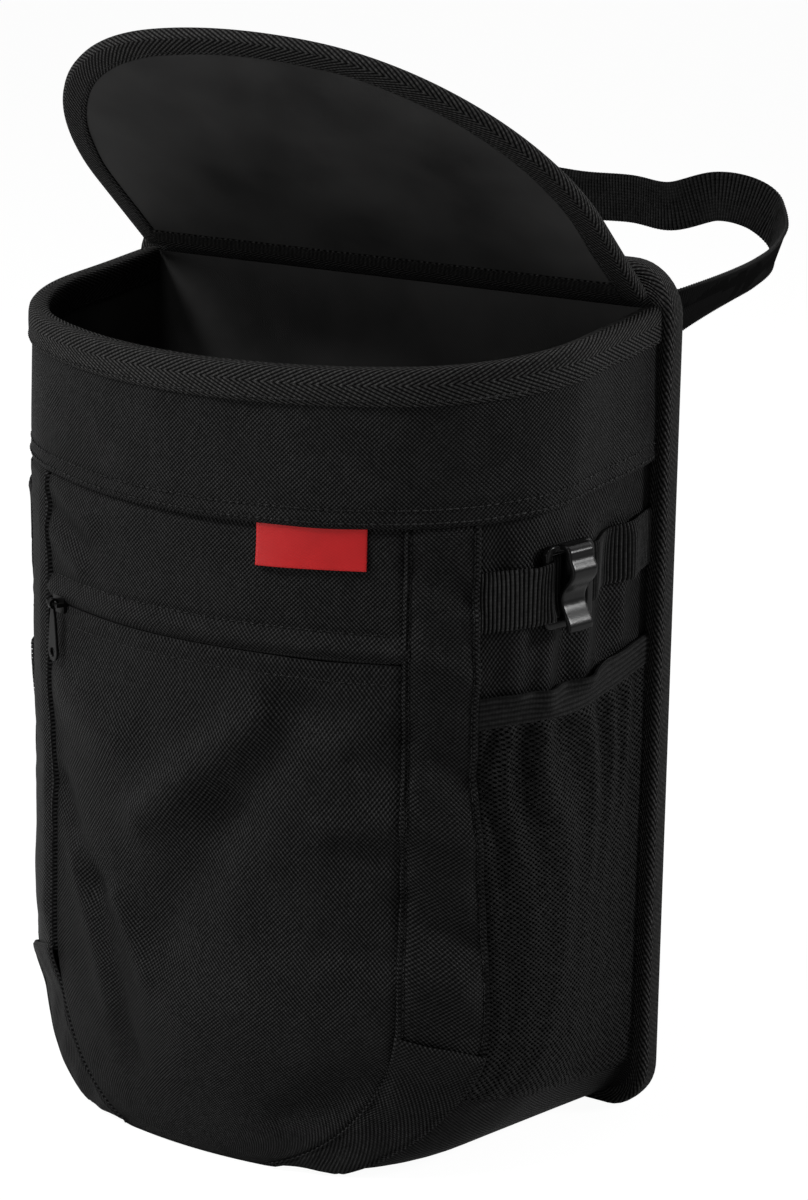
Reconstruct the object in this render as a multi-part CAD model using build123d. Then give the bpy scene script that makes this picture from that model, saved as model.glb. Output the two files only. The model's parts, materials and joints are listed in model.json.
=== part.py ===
from build123d import *
import os
from math import acos, asin, atan2, cos, degrees, hypot, radians, sin, sqrt

# Soft car trash bin: a D-shaped cloth bag on a stiff flat back, with a hinged lid and a hanging strap.
# Millimetres, +Z up, front towards -Y. The origin is on the floor under the middle of the bag.

# Bag form
BAG_HALF_WIDTH = 117.0
BAG_DEPTH = 130.0
FRONT_RADIUS = 176.0
SIDE_RADIUS = 68.0
FRONT_LOWER_RADIUS = 50.0
BACK_LOWER_RADIUS = 28.0
FLOOR_SIDE_RADIUS = 38.0
UPRIGHT_LEAD = 15.0
RIM_HEIGHT = 319.5
RIM_FALL = 13.0
WALL = 2.4
LINING = 0.8
TAPE = 0.8
PLY_EASE = 0.05

# Front panel, corner strips and boots
PANEL_HALF_WIDTH = 79.5
PANEL_LOWER_RADIUS = 58.0
SEAM_ALLOWANCE = 4.0
SEAM_SINK = 1.0
STRIP_WIDTH = 21.5
STRIP_THICKNESS = 2.2
BOOT_TOP = 54.0
BOOT_BOTTOM = 4.0
BOOT_THICKNESS = 1.2

# Collar band and rim binding
COLLAR_HEIGHT = 57.3
COLLAR_THICKNESS = 2.0
RIM_BINDING_HEIGHT = 12.5

# Zip pocket
ZIP_HEIGHT = 201.5
ZIP_TAPE_WIDTH = 27.0
ZIP_TAPE_THICKNESS = 0.8
ZIP_SLIT = 3.6
COIL_WIDTH = 2.6
COIL_THICKNESS = 1.2
POCKET_PLY = 1.0
SLIDER_LENGTH = 9.0
SLIDER_WIDTH = 7.6
SLIDER_PLATE = 1.2
SLIDER_CLEARANCE = 0.3
BRIDGE_BAR = 1.5
PULL_LENGTH = 21.0
PULL_TOP_WIDTH = 4.0
PULL_END_WIDTH = 7.0
PULL_THICKNESS = 1.2
PULL_ROUNDING = 0.35
PULL_HOLE = 3.4
PULL_EYE_WIDTH = 1.8
PULL_EYE_WALL = 0.9
EYE_CLEARANCE = 0.35
TAG_WIDTH = 40.0
TAG_HEIGHT = 15.6
TAG_THICKNESS = 0.7
TAG_X = 47.8

# Side webbing, bag clips and mesh pockets
WEBBING_WIDTH = 22.0
WEBBING_TOP = 244.0
WEBBING_THICKNESS = 1.6
CLIP_Y = 3.0
CLIP_WIDTH = 26.0
CLIP_HEIGHT = 31.0
CLIP_PLATE = 2.4
CLIP_SLOT = 7.0
CLIP_BORDER = 3.2
CLIP_SEAT = 0.1
HOOK_WIDTH = 13.0
HOOK_THICKNESS = 2.0
HOOK_REACH = 4.8
CLIP_ROUNDING = 0.6
ELASTIC_TOP = 196.0
ELASTIC_WIDTH = 11.5
ELASTIC_THICKNESS = 2.4
MESH_THICKNESS = 1.0
MESH_FOOT_FRONT = 35.0
MESH_FOOT_BACK = 20.0
GATHER_COUNT = 9
GATHER_RADIUS = 1.6
GATHER_LENGTH = 118.0

# Back panel
BACK_HEIGHT = 335.0
BACK_FLANGE = 6.0
BACK_TOP_RADIUS = 20.0
BACK_FOOT_RADIUS = 18.0
BOARD_THICKNESS = 7.0
CLOTH = 0.8
BINDING = 1.2
BINDING_LEG = 12.0
MITRE_RADIUS = 4.0
RUNNING_GAP = 0.3

# Lid
LID_HALF_WIDTH = 115.0
LID_DEPTH = 145.0
LID_FRONT_RADIUS = 187.0
LID_SIDE_RADIUS = 98.0
LID_BOARD = 2.4
LID_BINDING = 0.9
LID_BINDING_LEG = 9.0
LID_SEAT_GAP = 0.4
LID_OPEN_ANGLE = 42.0
HINGE_STANDOFF = 4.4
HINGE_BEAD = 1.5
HINGE_WEB = 1.2
HINGE_END_GAP = 8.0

# Hanging strap
STRAP_WIDTH = 20.0
STRAP_THICKNESS = 1.6
STRAP_REACH = 138.0
STRAP_HALF_WIDTH = 126.0
STRAP_BEND = 12.0
STRAP_LOOP_RADIUS = 48.0
STRAP_RISE_ANGLE = 13.0
PATCH_SIZE = 22.0
PATCH_THICKNESS = 1.6
PATCH_EDGE_GAP = 2.0
PATCH_SIDE_GAP = 5.5

# Places worked out from the driving dimensions
BACK_Y = BAG_DEPTH / 2
FRONT_CENTRE_Y = FRONT_RADIUS - BAG_DEPTH / 2
RIM_SLOPE = RIM_FALL / BAG_DEPTH
COVER_Y = BACK_Y + CLOTH + BOARD_THICKNESS + CLOTH
BACK_HALF_WIDTH = BAG_HALF_WIDTH + BACK_FLANGE
LID_STACK = CLOTH + LID_BOARD + CLOTH
HINGE_Y = BACK_Y - HINGE_STANDOFF
HINGE_Z = RIM_HEIGHT - RIM_SLOPE * HINGE_STANDOFF + TAPE + LID_SEAT_GAP + LID_BINDING + LID_STACK / 2
POCKET_OUT = ZIP_TAPE_THICKNESS + POCKET_PLY
STRAP_HEIGHT = BACK_HEIGHT - BINDING_LEG - PATCH_EDGE_GAP - PATCH_SIZE / 2
STRAP_ROOT = BACK_HALF_WIDTH - BINDING_LEG - PATCH_SIDE_GAP
STRAP_END = STRAP_ROOT - PATCH_SIZE
FAR = 3 * BACK_HEIGHT


def corner_centre(half_width, front_y, front_radius, side_radius):
    """The centre of the arc that joins a broad front arc to a straight side."""
    x = half_width - side_radius
    y = front_y + front_radius - sqrt((front_radius - side_radius) ** 2 - x ** 2)
    return x, y


CORNER_X, CORNER_Y = corner_centre(BAG_HALF_WIDTH, -BACK_Y, FRONT_RADIUS, SIDE_RADIUS)
FRONT_EDGE_X = CORNER_X * FRONT_RADIUS / (FRONT_RADIUS - SIDE_RADIUS)


def mirrored_outline(edge, middle, touch, root, apex_y):
    """A D outline from the right side's points: front arc, corner arcs, straight sides and back."""
    def left(point):
        return -point[0], point[1]

    return make_face([
        ThreePointArc(left(edge), (0, apex_y), edge),
        ThreePointArc(edge, middle, touch),
        Line(touch, root),
        Line(root, left(root)),
        Line(left(root), left(touch)),
        ThreePointArc(left(touch), left(middle), left(edge)),
    ])


def bag_section(z, inset, back_inset):
    """The bag's outline at a height, drawn in by an inset. Below the lower radii it narrows."""
    front_radius = FRONT_RADIUS - inset
    front_drop = max(FRONT_LOWER_RADIUS - z, 0)
    back_drop = max(BACK_LOWER_RADIUS - z, 0)
    lower = FRONT_LOWER_RADIUS - inset
    share = sqrt(max(1 - (front_drop / lower) ** 2, 0))
    corner_radius = FLOOR_SIDE_RADIUS + (SIDE_RADIUS - FLOOR_SIDE_RADIUS) * share
    edge_x = FRONT_EDGE_X * front_radius / FRONT_RADIUS - lower * (1 - share)
    edge_y = FRONT_CENTRE_Y - sqrt(front_radius ** 2 - edge_x ** 2)
    back_reach = sqrt(max((BACK_LOWER_RADIUS - inset) ** 2 - back_drop ** 2, 0))
    root_x = BAG_HALF_WIDTH - BACK_LOWER_RADIUS + back_reach

    inner = (FRONT_RADIUS - corner_radius) / front_radius
    centre_x = edge_x * inner
    centre_y = FRONT_CENTRE_Y + (edge_y - FRONT_CENTRE_Y) * inner
    radius = corner_radius - inset
    to_root = atan2(BACK_Y - centre_y, root_x - centre_x)
    end = to_root - acos(min(radius / hypot(root_x - centre_x, BACK_Y - centre_y), 1))
    start = atan2(edge_y - centre_y, edge_x - centre_x)

    def on_corner(angle):
        return centre_x + radius * cos(angle), centre_y + radius * sin(angle)

    apex_y = FRONT_CENTRE_Y - front_radius
    touch = on_corner(end)
    lean = (root_x - touch[0]) / (BACK_Y - touch[1])
    root = (root_x - lean * back_inset, BACK_Y - back_inset)
    outline = mirrored_outline((edge_x, edge_y), on_corner((start + end) / 2), touch, root, apex_y)
    return Pos(0, 0, z) * outline


def bag_form(inset, back_inset=0.0):
    """The bag's solid form: lower corners lofted through rounding sections, upright walls above."""
    lower = FRONT_LOWER_RADIUS - inset
    levels = [FRONT_LOWER_RADIUS - lower * cos(radians(turn)) for turn in (0, 15, 30, 48, 66, 82, 90)]
    upright = FRONT_LOWER_RADIUS + UPRIGHT_LEAD
    foot = loft([bag_section(level, inset, back_inset) for level in levels + [upright]])
    walls = extrude(bag_section(upright, inset, back_inset), BACK_HEIGHT - upright)
    return foot + walls


def wall_ring(inner, outer):
    """The upright wall's plan between two outward offsets, open at the back, from floor to top."""
    plan = bag_section(FRONT_LOWER_RADIUS, -outer, 0) - bag_section(FRONT_LOWER_RADIUS, -inner, -BAG_DEPTH)
    return Pos(0, 0, -FRONT_LOWER_RADIUS) * extrude(plan, BACK_HEIGHT)


def tilted_slab(low, high):
    """A slab between two planes that fall towards the front as the rim does; heights at the back."""
    near, away = -FAR, FAR

    def height(base, y):
        return base + RIM_SLOPE * (y - BACK_Y)

    side = Polyline(
        (near, height(low, near)), (away, height(low, away)),
        (away, height(high, away)), (near, height(high, near)), close=True)
    return extrude(Plane.YZ * make_face(side), FAR, both=True)


def front_band(half_width, lower_radius, low, high):
    """A U shape seen from the front, its round foot just under the floor, cut off between two heights."""
    whole = RectangleRounded(2 * half_width, 2 * FAR, lower_radius)
    shape = Pos(0, FAR - SEAM_SINK) * whole & Pos(0, (low + high) / 2) * Rectangle(2 * FAR, high - low)
    return Pos(0, -FAR, 0) * extrude(Plane.XZ * shape, -FAR)


def mirror_x(solid):
    return mirror(solid, about=Plane.YZ)


def side_box(x_low, low, high):
    """The space outside a line beside the corner strip, on the right, up to the back panel."""
    return Pos((x_low + FAR) / 2, BACK_Y - FAR / 2, (low + high) / 2) * Box(FAR - x_low, FAR, high - low)


# Bag walls
to_rim = tilted_slab(-FAR, RIM_HEIGHT)
outer_form = bag_form(0)
lined_form = bag_form(WALL, -BAG_DEPTH)
shell = (outer_form - lined_form) & to_rim
lining = (lined_form & side_box(-FAR, -FAR, FAR)) - bag_form(WALL + LINING, LINING)
lining = lining & to_rim

inside_front = Pos(0, FRONT_CENTRE_Y, 0) * Cylinder(FRONT_RADIUS - WALL - SEAM_ALLOWANCE, 2 * FAR)
front_cut = front_band(PANEL_HALF_WIDTH, PANEL_LOWER_RADIUS, -FAR, FAR) - inside_front
front_wall = shell & front_cut
side_gusset = shell - front_cut

# Collar band and the tape folded over the rim
collar_slab = tilted_slab(RIM_HEIGHT - COLLAR_HEIGHT, RIM_HEIGHT)
collar_band = wall_ring(0, COLLAR_THICKNESS) & collar_slab
tape_slab = tilted_slab(RIM_HEIGHT - RIM_BINDING_HEIGHT, RIM_HEIGHT + TAPE)
rim_layers = wall_ring(-WALL - LINING, COLLAR_THICKNESS) & to_rim
rim_binding = (wall_ring(-WALL - LINING - TAPE, COLLAR_THICKNESS + TAPE) & tape_slab) - rim_layers - lining

# Zip pocket on the front
under_collar = tilted_slab(-FAR, RIM_HEIGHT - COLLAR_HEIGHT)
slit_low = ZIP_HEIGHT - ZIP_SLIT / 2
slit_high = ZIP_HEIGHT + ZIP_SLIT / 2


def front_ply(inner, outer, low, high):
    """A ply of the front, between two outward offsets and two heights, as wide as the front panel."""
    plan = Circle(FRONT_RADIUS + outer) - Circle(FRONT_RADIUS + inner)
    ring = Pos(0, FRONT_CENTRE_Y, 0) * extrude(plan, FAR)
    return ring & front_band(PANEL_HALF_WIDTH, PANEL_LOWER_RADIUS, low, high)


tape_low = ZIP_HEIGHT - ZIP_TAPE_WIDTH / 2
tape_high = ZIP_HEIGHT + ZIP_TAPE_WIDTH / 2
zip_tape = front_ply(PLY_EASE, ZIP_TAPE_THICKNESS, tape_low, tape_high)
zip_coil = front_ply(
    ZIP_TAPE_THICKNESS, ZIP_TAPE_THICKNESS + COIL_THICKNESS,
    ZIP_HEIGHT - COIL_WIDTH / 2, ZIP_HEIGHT + COIL_WIDTH / 2)
pocket_panel = front_ply(ZIP_TAPE_THICKNESS, POCKET_OUT, WALL, slit_low)
pocket_yoke = front_ply(ZIP_TAPE_THICKNESS, POCKET_OUT, slit_high, RIM_HEIGHT) & under_collar
pocket_yoke = pocket_yoke + (front_ply(PLY_EASE, ZIP_TAPE_THICKNESS, tape_high, RIM_HEIGHT) & under_collar)

# The slider rides along the zip's arc, about an upright axis through the arc's centre
zip_ease = degrees(SLIDER_LENGTH / FRONT_RADIUS)
zip_half_angle = degrees(asin(PANEL_HALF_WIDTH / FRONT_RADIUS)) - zip_ease
slider_base = max(POCKET_OUT, ZIP_TAPE_THICKNESS + COIL_THICKNESS) + SLIDER_CLEARANCE
eye_radius = BRIDGE_BAR / 2 + EYE_CLEARANCE
eye_outer = eye_radius + PULL_EYE_WALL
bridge_out = slider_base + SLIDER_PLATE + SLIDER_CLEARANCE + eye_outer
at_slider = Pos(0, FRONT_CENTRE_Y, ZIP_HEIGHT) * Rot(0, 0, -zip_half_angle)


def slider_ring(inner, outer, length, width):
    """A block bent to the zip's arc, centred on the slider."""
    plan = Circle(FRONT_RADIUS + outer) - Circle(FRONT_RADIUS + inner)
    keep = Pos(0, -FRONT_RADIUS, 0) * Box(length, FRONT_RADIUS, width)
    return extrude(plan, width / 2, both=True) & keep


plate = slider_ring(slider_base, slider_base + SLIDER_PLATE, SLIDER_LENGTH, SLIDER_WIDTH)
plate = fillet(plate.edges().filter_by(lambda edge: edge.length < 2 * SLIDER_PLATE), SLIDER_WIDTH / 4)
bridge_y = -FRONT_RADIUS - bridge_out
foot_height = bridge_out + BRIDGE_BAR / 2 - slider_base
foot_y = -FRONT_RADIUS - slider_base - foot_height / 2 - SLIDER_PLATE / 4
bar_length = SLIDER_LENGTH - 2 * BRIDGE_BAR
bridge = Pos(0, bridge_y, 0) * Rot(0, 90, 0) * Cylinder(BRIDGE_BAR / 2, SLIDER_LENGTH - BRIDGE_BAR)
feet = [
    Pos(side * (bar_length + BRIDGE_BAR) / 2, foot_y, 0)
    * Box(BRIDGE_BAR, foot_height - SLIDER_PLATE / 2, BRIDGE_BAR)
    for side in (-1, 1)]
zip_slider = at_slider * (plate + bridge + feet[0] + feet[1])

# The pull's eye turns on the bridge and its flat tab hangs from it
eye = Cylinder(eye_outer, PULL_EYE_WIDTH) - Cylinder(eye_radius, PULL_EYE_WIDTH)
eye = Pos(0, bridge_y, 0) * Rot(0, 90, 0) * eye
tab_top = -eye_radius - PULL_EYE_WALL / 2
tab_foot = tab_top - PULL_LENGTH
tab_face = make_face(Polyline(
    (-PULL_EYE_WIDTH / 2, tab_top), (PULL_EYE_WIDTH / 2, tab_top),
    (PULL_TOP_WIDTH / 2, tab_top - PULL_TOP_WIDTH), (PULL_END_WIDTH / 2, tab_foot + PULL_END_WIDTH / 2),
    (-PULL_END_WIDTH / 2, tab_foot + PULL_END_WIDTH / 2), (-PULL_TOP_WIDTH / 2, tab_top - PULL_TOP_WIDTH),
    close=True))
tab_face = tab_face + Pos(0, tab_foot + PULL_END_WIDTH / 2) * Circle(PULL_END_WIDTH / 2)
tab_face = tab_face - Pos(0, tab_foot + PULL_END_WIDTH / 2) * Circle(PULL_HOLE / 2)
tab = extrude(Plane.XZ * tab_face, PULL_THICKNESS / 2, both=True)
tab_rims = tab.edges().group_by(Axis.Y)
tab = Pos(0, bridge_y, 0) * fillet(tab_rims[0] + tab_rims[-1], PULL_ROUNDING)
zip_pull = at_slider * (eye + tab)

# Bare tag hanging from the collar's fold
tag_box = Pos(TAG_X, 0, RIM_HEIGHT) * Box(TAG_WIDTH, FAR, FAR)
tag_slab = tilted_slab(RIM_HEIGHT - COLLAR_HEIGHT - TAG_HEIGHT, RIM_HEIGHT - COLLAR_HEIGHT)
front_tag = wall_ring(POCKET_OUT, POCKET_OUT + TAG_THICKNESS) & tag_slab & tag_box
front_tag = front_tag.solids().sort_by(Axis.Y)[0]

# Corner strips and the boots below them
strip_edge = PANEL_HALF_WIDTH + STRIP_WIDTH
strip_space = side_box(PANEL_HALF_WIDTH, BOOT_TOP, BACK_HEIGHT) - side_box(strip_edge, -FAR, FAR)
strip_right = wall_ring(PLY_EASE, STRIP_THICKNESS) & strip_space & under_collar
boot_band = (
    front_band(strip_edge, PANEL_LOWER_RADIUS + STRIP_WIDTH, BOOT_BOTTOM, BOOT_TOP)
    - front_band(PANEL_HALF_WIDTH, PANEL_LOWER_RADIUS, -FAR, FAR)) & side_box(0, -FAR, FAR)
boot_right = ((bag_form(-BOOT_THICKNESS) - outer_form) & boot_band).solids().sort_by(SortBy.VOLUME)[-1]

# Side webbing, elastic and mesh pocket
beside_strip = side_box(strip_edge, -FAR, FAR)
webbing_right = wall_ring(0, WEBBING_THICKNESS) & tilted_slab(WEBBING_TOP - WEBBING_WIDTH, WEBBING_TOP)
webbing_right = webbing_right & beside_strip
elastic_right = wall_ring(0, ELASTIC_THICKNESS) & tilted_slab(ELASTIC_TOP - ELASTIC_WIDTH, ELASTIC_TOP)
elastic_right = elastic_right & beside_strip

mesh_side = Polyline(
    (-BACK_Y, MESH_FOOT_FRONT), (BACK_Y, MESH_FOOT_BACK),
    (BACK_Y, ELASTIC_TOP), (-BACK_Y, ELASTIC_TOP), close=True)
mesh_space = extrude(Plane.YZ * make_face(mesh_side), FAR) & side_box(strip_edge, -FAR, FAR)
mesh_slab = tilted_slab(-FAR, ELASTIC_TOP - ELASTIC_WIDTH)
mesh_right = ((bag_form(-MESH_THICKNESS) - outer_form) & mesh_space & mesh_slab)
mesh_right = mesh_right.solids().sort_by(SortBy.VOLUME)[-1]


def wall_point(length, out):
    """A point of the right wall's plan, by its arc length forward from the back panel."""
    straight = BACK_Y - CORNER_Y
    if length < straight:
        return BAG_HALF_WIDTH + out, BACK_Y - length
    turn = (length - straight) / SIDE_RADIUS
    reach = SIDE_RADIUS + out
    return CORNER_X + reach * cos(turn), CORNER_Y - reach * sin(turn)


strip_turn = acos((strip_edge - CORNER_X) / SIDE_RADIUS)
pocket_length = BACK_Y - CORNER_Y + SIDE_RADIUS * strip_turn
gather_top = ELASTIC_TOP - ELASTIC_WIDTH
for gather in range(GATHER_COUNT):
    x, y = wall_point(pocket_length * (gather + 0.5) / GATHER_COUNT, MESH_THICKNESS)
    top = gather_top + RIM_SLOPE * (y - GATHER_RADIUS - BACK_Y)
    rib = Pos(x, y, top - GATHER_LENGTH) * extrude(Circle(GATHER_RADIUS), GATHER_LENGTH - GATHER_RADIUS)
    mesh_right = mesh_right + (rib - outer_form)

# Bag clip: a threaded frame with an S-shaped spring hook on its face
clip_turn = asin((CLIP_Y - CORNER_Y) / SIDE_RADIUS)
clip_frame = Pos(CORNER_X, CORNER_Y, 0) * Rot(0, 0, degrees(clip_turn))
clip_out = SIDE_RADIUS + WEBBING_THICKNESS + CLIP_SEAT
clip_z = WEBBING_TOP - WEBBING_WIDTH / 2 + RIM_SLOPE * (CLIP_Y - BACK_Y)
slot_height = CLIP_HEIGHT - 2 * CLIP_BORDER
clip_face = RectangleRounded(CLIP_WIDTH, CLIP_HEIGHT, CLIP_BORDER)
slot_y = CLIP_WIDTH / 2 - CLIP_BORDER - CLIP_SLOT / 2
for slot_side in (-1, 1):
    clip_face = clip_face - Pos(slot_side * slot_y, 0) * Rectangle(CLIP_SLOT, slot_height)
clip_plate = extrude(Plane.YZ * clip_face, CLIP_PLATE)
clip_plate = fillet(clip_plate.edges().group_by(Axis.X)[-1], CLIP_ROUNDING)
hook_top = CLIP_HEIGHT / 2
hook_line = Spline(
    (CLIP_PLATE / 2, hook_top - HOOK_THICKNESS / 2),
    (CLIP_PLATE + HOOK_REACH * 0.75, hook_top - HOOK_REACH * 0.25),
    (CLIP_PLATE + HOOK_REACH, hook_top * 0.5),
    (CLIP_PLATE + HOOK_REACH * 0.45, -hook_top * 0.1),
    (CLIP_PLATE + HOOK_REACH * 0.9, -hook_top * 0.62),
    (CLIP_PLATE + HOOK_REACH * 0.6, -hook_top))
hook = extrude(Plane.XZ * trace(hook_line, HOOK_THICKNESS), HOOK_WIDTH / 2, both=True)
hook_sides = hook.edges().group_by(Axis.Y)
hook = fillet(hook_sides[0] + hook_sides[-1], CLIP_ROUNDING)
clip_right = clip_frame * Pos(clip_out, 0, clip_z) * (clip_plate + hook)

# Back panel: facing, board and cover in one stack, with tape folded over the whole edge


def back_outline(inset):
    """The back panel's outline, seen from the front, drawn in by an inset."""
    half = BACK_HALF_WIDTH - inset
    top_radius = max(BACK_TOP_RADIUS - inset, MITRE_RADIUS)
    foot_radius = max(BACK_FOOT_RADIUS - inset, MITRE_RADIUS)
    outline = Pos(0, BACK_HEIGHT / 2) * Rectangle(2 * half, BACK_HEIGHT - 2 * inset)
    outline = fillet(outline.vertices().group_by(Axis.Y)[-1], top_radius)
    return fillet(outline.vertices().sort_by(Axis.Y)[:2], foot_radius)


def back_plate(outline, front_y, thickness):
    return Pos(0, front_y, 0) * extrude(Plane.XZ * outline, -thickness)


back_facing = back_plate(back_outline(BINDING), BACK_Y, CLOTH)
back_board = back_plate(back_outline(BINDING), BACK_Y + CLOTH, BOARD_THICKNESS)
back_cover = back_plate(back_outline(BINDING), COVER_Y - CLOTH, CLOTH)
edge_wall = back_plate(back_outline(0) - back_outline(BINDING), BACK_Y, COVER_Y - BACK_Y)
back_leg = back_plate(back_outline(0) - back_outline(BINDING_LEG), COVER_Y, BINDING)
front_leg = back_plate(back_outline(0) - back_outline(BACK_FLANGE), BACK_Y - BINDING, BINDING)
proud = max(COLLAR_THICKNESS + TAPE, MESH_THICKNESS + GATHER_RADIUS, ELASTIC_THICKNESS) + RUNNING_GAP
front_leg = front_leg - (bag_form(-proud) & tilted_slab(-FAR, RIM_HEIGHT + TAPE + RUNNING_GAP))
back_binding = edge_wall + back_leg + front_leg

# Lid, drawn shut and level about the hinge line, then turned to its open rest


def lid_outline(inset):
    """The lid's D outline with its back edge along the hinge, drawn in by an inset."""
    half = LID_HALF_WIDTH - inset
    front_y = inset - LID_DEPTH
    centre_x, centre_y = corner_centre(half, front_y, LID_FRONT_RADIUS - inset, LID_SIDE_RADIUS - inset)
    radius = LID_SIDE_RADIUS - inset
    front_centre_y = front_y + LID_FRONT_RADIUS - inset
    start = atan2(centre_y - front_centre_y, centre_x)
    edge = (centre_x + radius * cos(start), centre_y + radius * sin(start))
    middle = (centre_x + radius * cos(start / 2), centre_y + radius * sin(start / 2))
    root_y = -HINGE_BEAD - RUNNING_GAP - inset
    return mirrored_outline(edge, middle, (half, centre_y), (half, root_y), front_y)


def lid_plate(outline, low, thickness):
    """A layer of the lid at its height in the stack, turned open about the hinge line."""
    layer = Pos(0, 0, low - LID_STACK / 2) * extrude(outline, thickness)
    return Pos(0, HINGE_Y, HINGE_Z) * Rot(-LID_OPEN_ANGLE, 0, 0) * layer


lid_lining = lid_plate(lid_outline(LID_BINDING), 0, CLOTH)
lid_board = lid_plate(lid_outline(LID_BINDING), CLOTH, LID_BOARD)
lid_cover = lid_plate(lid_outline(LID_BINDING), CLOTH + LID_BOARD, CLOTH)
lid_ring = lid_outline(0) - lid_outline(LID_BINDING_LEG)
lid_binding = (
    lid_plate(lid_outline(0) - lid_outline(LID_BINDING), 0, LID_STACK)
    + lid_plate(lid_ring, -LID_BINDING, LID_BINDING)
    + lid_plate(lid_ring, LID_STACK, LID_BINDING))

hinge_length = 2 * (LID_HALF_WIDTH - HINGE_END_GAP)
hinge_bead = Pos(0, HINGE_Y, HINGE_Z) * Rot(0, 90, 0) * Cylinder(HINGE_BEAD, hinge_length)
hinge_web = Pos(0, (HINGE_Y + BACK_Y) / 2, HINGE_Z) * Box(hinge_length, HINGE_STANDOFF, HINGE_WEB)
lid_hinge = hinge_bead + hinge_web

# Hanging strap, a band that rises to the back, on two patches sewn to the back cover
strap_side = STRAP_WIDTH / 2 * sin(radians(STRAP_RISE_ANGLE)) + STRAP_THICKNESS
strap_line = FilletPolyline(
    (STRAP_END, 0), (STRAP_ROOT, 0), (STRAP_HALF_WIDTH, STRAP_REACH),
    (-STRAP_HALF_WIDTH, STRAP_REACH), (-STRAP_ROOT, 0), (-STRAP_END, 0),
    radius=[STRAP_BEND, STRAP_LOOP_RADIUS, STRAP_LOOP_RADIUS, STRAP_BEND])
strap_band = extrude(trace(strap_line, STRAP_THICKNESS), STRAP_WIDTH / 2, both=True)
strap_seat = COVER_Y + PATCH_THICKNESS + strap_side
hanging_strap = Pos(0, strap_seat, STRAP_HEIGHT) * Rot(STRAP_RISE_ANGLE, 0, 0) * strap_band
patch_x = (STRAP_END + STRAP_ROOT) / 2
patch_right = Pos(patch_x, COVER_Y + PATCH_THICKNESS / 2, STRAP_HEIGHT) * Box(
    PATCH_SIZE, PATCH_THICKNESS, PATCH_SIZE)

nodes = {
    "front_wall": front_wall,
    "side_gusset": side_gusset,
    "lining": lining,
    "collar_band": collar_band,
    "rim_binding": rim_binding,
    "zip_tape": zip_tape,
    "zip_coil": zip_coil,
    "pocket_panel": pocket_panel,
    "pocket_yoke": pocket_yoke,
    "zip_slider": zip_slider,
    "zip_pull": zip_pull,
    "front_tag": front_tag,
    "back_facing": back_facing,
    "back_board": back_board,
    "back_cover": back_cover,
    "back_binding": back_binding,
    "lid_lining": lid_lining,
    "lid_board": lid_board,
    "lid_cover": lid_cover,
    "lid_binding": lid_binding,
    "lid_hinge": lid_hinge,
    "hanging_strap": hanging_strap,
}
for name, right in {
    "corner_strip": strip_right,
    "corner_boot": boot_right,
    "side_webbing": webbing_right,
    "bag_clip": clip_right,
    "mesh_pocket": mesh_right,
    "pocket_elastic": elastic_right,
    "strap_patch": patch_right,
}.items():
    nodes[name + "_right"] = right
    nodes[name + "_left"] = mirror_x(right)

os.makedirs("parts", exist_ok=True)
for name, solid in nodes.items():
    export_step(solid, f"parts/{name}.step")
print(f"{len(nodes)} nodes; hinge at y {HINGE_Y:.2f}, z {HINGE_Z:.2f}")
print(f"zip half angle {zip_half_angle:.2f}, bridge {FRONT_RADIUS + bridge_out:.2f} from the arc's centre")
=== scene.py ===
# %% [markdown]
# # A soft car litter bin, sewn panel by panel
# This lesson dresses a sewn bin in Blender: black woven cloth, herringbone tape, ribbed webbing, mesh side
# pockets, a satin-lined lid and glossy plastic clips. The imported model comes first. It holds every piece at
# its real size and place, so each cloth below is cut flat and then laid on the form that it gives.

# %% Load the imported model
import json
import math
from functools import partial

import bpy
import numpy as np
from mathutils import Matrix, Vector, noise


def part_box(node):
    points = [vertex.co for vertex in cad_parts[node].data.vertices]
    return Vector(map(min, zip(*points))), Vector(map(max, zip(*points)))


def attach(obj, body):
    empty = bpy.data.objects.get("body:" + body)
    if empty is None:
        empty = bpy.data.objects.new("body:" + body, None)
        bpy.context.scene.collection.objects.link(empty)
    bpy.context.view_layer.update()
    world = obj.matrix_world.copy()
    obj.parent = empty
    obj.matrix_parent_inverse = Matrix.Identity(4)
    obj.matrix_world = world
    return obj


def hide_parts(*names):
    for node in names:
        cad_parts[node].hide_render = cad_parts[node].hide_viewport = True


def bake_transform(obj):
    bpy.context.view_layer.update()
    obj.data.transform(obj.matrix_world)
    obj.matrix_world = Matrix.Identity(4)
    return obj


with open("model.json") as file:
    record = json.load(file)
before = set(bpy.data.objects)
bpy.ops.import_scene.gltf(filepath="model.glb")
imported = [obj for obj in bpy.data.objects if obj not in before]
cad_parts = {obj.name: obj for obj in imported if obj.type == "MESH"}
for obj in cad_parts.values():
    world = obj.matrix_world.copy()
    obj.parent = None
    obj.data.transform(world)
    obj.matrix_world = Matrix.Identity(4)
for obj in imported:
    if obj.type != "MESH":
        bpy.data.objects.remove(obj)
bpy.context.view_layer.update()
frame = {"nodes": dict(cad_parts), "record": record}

# %% [markdown]
# ## The bag's form
# Seen from above the bag is a D: a broad front arc, two corner arcs and straight sides that end at the
# stiff back. Below, its corners turn under to a small flat base. Sewing is thought of along the wall, so
# the form is written as one function: how far along the wall from the middle of the front, how high, and
# how far out. Sizes here are millimetres, which suit cloth; they become metres when a mesh is written.

# %% Measures of the form
MM = 0.001
SIDES = ((1, "right"), (-1, "left"))
FRONT_RADIUS = 176.0
SIDE_RADIUS = 68.0
FRONT_LOWER_RADIUS = 50.0
BACK_LOWER_RADIUS = 28.0
FLOOR_SIDE_RADIUS = 38.0
RIM_SLOPE = 0.1
NORMAL_STEP = 0.4
BACK_TUCK = 0.6


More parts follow.
